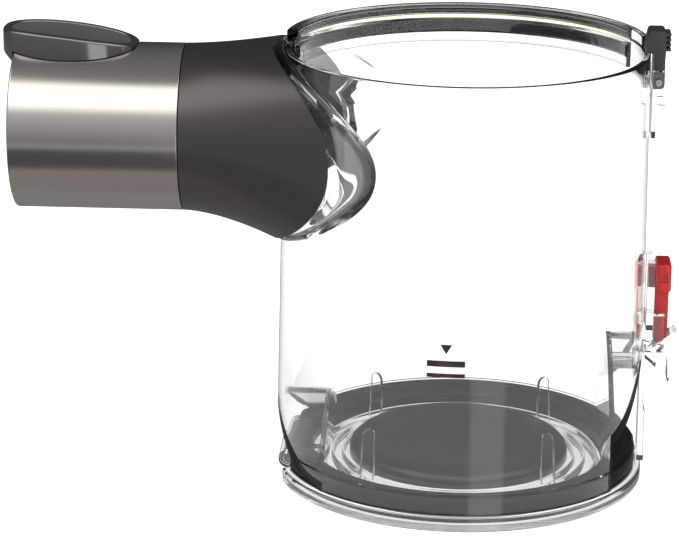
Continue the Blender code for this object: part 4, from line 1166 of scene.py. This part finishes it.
def ramp(tree, socket, stops):
    """A grey or colour from a value of 0 to 1, by (height, tone) stops whose height is -1 to 1."""
    node = add_node(tree, "ShaderNodeValToRGB", {0: socket})
    elements = node.color_ramp.elements
    while len(elements) > 1:
        elements.remove(elements[-1])
    for i, (height, tone) in enumerate(stops):
        element = elements[0] if i == 0 else elements.new((height + 1) / 2)
        element.position = (height + 1) / 2
        element.color = (*tone, 1) if isinstance(tone, tuple) else (tone, tone, tone, 1)
    return node.outputs[0]


def between(tree, socket, low, high, kind="SMOOTHSTEP"):
    """A value's rise from 0 to 1 between two limits."""
    feeds = {"Value": socket, "From Min": low, "From Max": high}
    return add_node(tree, "ShaderNodeMapRange", feeds, interpolation_type=kind).outputs["Result"]


def blended(tree, share, first, second):
    return add_node(tree, "ShaderNodeMix", {0: share, 6: first, 7: second}, data_type="RGBA").outputs[2]


# The room's brightness by height, from straight down (-1) to straight up (1)
GLOW = (1.9, 1.85, 1.74)
FRONT_OF_ROOM = (
    (-1.0, (0.22, 0.20, 0.185)), (-0.80, (0.26, 0.235, 0.215)), (-0.74, 0.03), (-0.38, 0.025),
    (-0.35, 0.35), (-0.27, 0.35), (-0.24, 0.16), (0.0, 0.30), (0.45, 0.55),
    (0.60, GLOW), (0.90, GLOW), (0.95, 0.20), (1.0, 0.16),
)
BACK_OF_ROOM = (
    (-1.0, 0.25), (-0.5, 0.20), (-0.1, 0.10), (0.0, 0.04), (0.35, 0.05), (0.7, 0.10), (1.0, 0.16),
)
STRIP_LIGHT = (1.3, 1.3, 1.3, 1)
WHITE = (1, 1, 1, 1)
PAPER = (0.86, 0.86, 0.86, 1)
FLOOR_HALF = 6.0
CAMERA_DISTANCE = 843.4 * MM
CAMERA_AIM = (-37.17 * MM, 63.32 * MM)  # to the right, and up
CAMERA_ANGLES = (-2.866, 16.389, 0.541)  # turn, tilt and roll in degrees


class BIN_OT_studio(BinOperator):
    """Make the pale floor, the soft light all round and the camera"""

    bl_idname = "bin.studio"
    bl_label = "Studio"

    def sky(self, strength):
        world = bpy.data.worlds.new("Studio")
        bpy.context.scene.world = world
        world.use_nodes = True
        tree = world.node_tree
        tree.nodes.clear()
        way = add_node(tree, "ShaderNodeTexCoord").outputs["Generated"]
        parts = add_node(tree, "ShaderNodeSeparateXYZ", {0: way}).outputs
        height = between(tree, parts["Z"], -1, 1, "LINEAR")
        front = ramp(tree, height, FRONT_OF_ROOM)
        back = ramp(tree, height, BACK_OF_ROOM)
        sides = blended(tree, between(tree, parts["Y"], -0.15, 0.25), front, back)
        # A tall strip of light low on the right, which stands in the wall as an upright band
        away = maths(tree, "MULTIPLY", parts["Y"], -1.0)
        slant = maths(tree, "DIVIDE", parts["X"], away)
        strip = between(tree, slant, 0.10, 0.16)
        for limit in (
            between(tree, slant, 0.58, 0.50),
            between(tree, parts["Z"], -0.60, -0.50),
            between(tree, parts["Z"], 0.10, 0.0),
            between(tree, away, 0.0, 0.05),
        ):
            strip = maths(tree, "MULTIPLY", strip, limit)
        lit = blended(tree, strip, sides, STRIP_LIGHT)
        # Seen directly, the room is plain and pale
        direct = add_node(tree, "ShaderNodeLightPath").outputs["Is Camera Ray"]
        seen = blended(tree, direct, lit, WHITE)
        shade = add_node(tree, "ShaderNodeBackground", {"Color": seen, "Strength": strength})
        add_node(tree, "ShaderNodeOutputWorld", {"Surface": shade.outputs[0]})

    def floor(self):
        corners = [(x * FLOOR_HALF, y * FLOOR_HALF, 0) for x, y in ((-1, -1), (1, -1), (1, 1), (-1, 1))]
        mesh = bpy.data.meshes.new("floor")
        mesh.from_pydata(corners, [], [(0, 1, 2, 3)])
        paper = bpy.data.materials.new("pale_floor")
        paper.use_nodes = True
        shader = paper.node_tree.nodes["Principled BSDF"]
        values = {
            "Base Color": PAPER, "Roughness": 0.9, "Specular IOR Level": 0.0,
            "Emission Color": WHITE, "Emission Strength": 0.82,
        }
        for socket, value in values.items():
            shader.inputs[socket].default_value = value
        mesh.materials.append(paper)
        floor = bpy.data.objects.new("floor", mesh)
        bpy.context.scene.collection.objects.link(floor)
        floor.visible_glossy = False

    def camera(self):
        data = bpy.data.cameras.new("camera")
        data.sensor_width = 36.0
        data.lens = 147.55
        data.clip_start, data.clip_end = 0.05, 20.0
        camera = bpy.data.objects.new("camera", data)
        bpy.context.scene.collection.objects.link(camera)
        turn, tilt, roll = (math.radians(angle) for angle in CAMERA_ANGLES)
        right = Vector((math.cos(turn), -math.sin(turn), 0))
        ahead = Vector((math.sin(turn) * math.cos(tilt), math.cos(turn) * math.cos(tilt), -math.sin(tilt)))
        up = right.cross(ahead)
        aim = right * CAMERA_AIM[0] + Vector((0, 0, CAMERA_AIM[1]))
        across = right * math.cos(roll) + up * math.sin(roll)
        upright = up * math.cos(roll) - right * math.sin(roll)
        place = aim - ahead * CAMERA_DISTANCE
        camera.matrix_world = Matrix((
            (across.x, upright.x, -ahead.x, place.x),
            (across.y, upright.y, -ahead.y, place.y),
            (across.z, upright.z, -ahead.z, place.z),
            (0, 0, 0, 1),
        ))
        bpy.context.scene.camera = camera

    def build(self, s, finish):
        scene = bpy.context.scene
        self.sky(finish.light)
        self.floor()
        self.camera()
        scene.view_settings.view_transform = "Standard"
        scene.view_settings.look = "None"
        bounces = {"max": 24, "transmission": 24, "glossy": 8, "diffuse": 3}
        for kind, count in bounces.items():
            setattr(scene.cycles, kind + "_bounces", count)
        scene.cycles.caustics_reflective = False
        scene.cycles.caustics_refractive = False


STEPS = (
    BIN_OT_finishes,
    BIN_OT_studio,
    BIN_OT_wall,
    BIN_OT_rim,
    BIN_OT_collar,
    BIN_OT_inlet,
    BIN_OT_hood,
    BIN_OT_base,
    BIN_OT_release,
    BIN_OT_latch,
    BIN_OT_mark,
    BIN_OT_small_parts,
)


class BIN_PT_panel(bpy.types.Panel):
    """The bin's steps and values in the 3D view's sidebar"""

    bl_idname = "BIN_PT_panel"
    bl_label = "Clear dust bin"
    bl_space_type = "VIEW_3D"
    bl_region_type = "UI"
    bl_category = "Dust bin"

    def draw(self, context):
        for step in STEPS:
            self.layout.operator(step.bl_idname)
        for group in (context.scene.bin_sizes, context.scene.bin_finishes):
            box = self.layout.box()
            for name in group.__annotations__:
                box.prop(group, name)


CLASSES = (BinSizes, BinFinishes, *STEPS, BIN_PT_panel)


def register():
    for cls in CLASSES:
        bpy.utils.register_class(cls)
    bpy.types.Scene.bin_sizes = PointerProperty(type=BinSizes)
    bpy.types.Scene.bin_finishes = PointerProperty(type=BinFinishes)


def unregister():
    del bpy.types.Scene.bin_finishes
    del bpy.types.Scene.bin_sizes
    for cls in reversed(CLASSES):
        bpy.utils.unregister_class(cls)


def main():
    register()
    for step in STEPS:
        group, name = step.bl_idname.split(".")
        getattr(getattr(bpy.ops, group), name)()


if __name__ == "__main__":
    main()
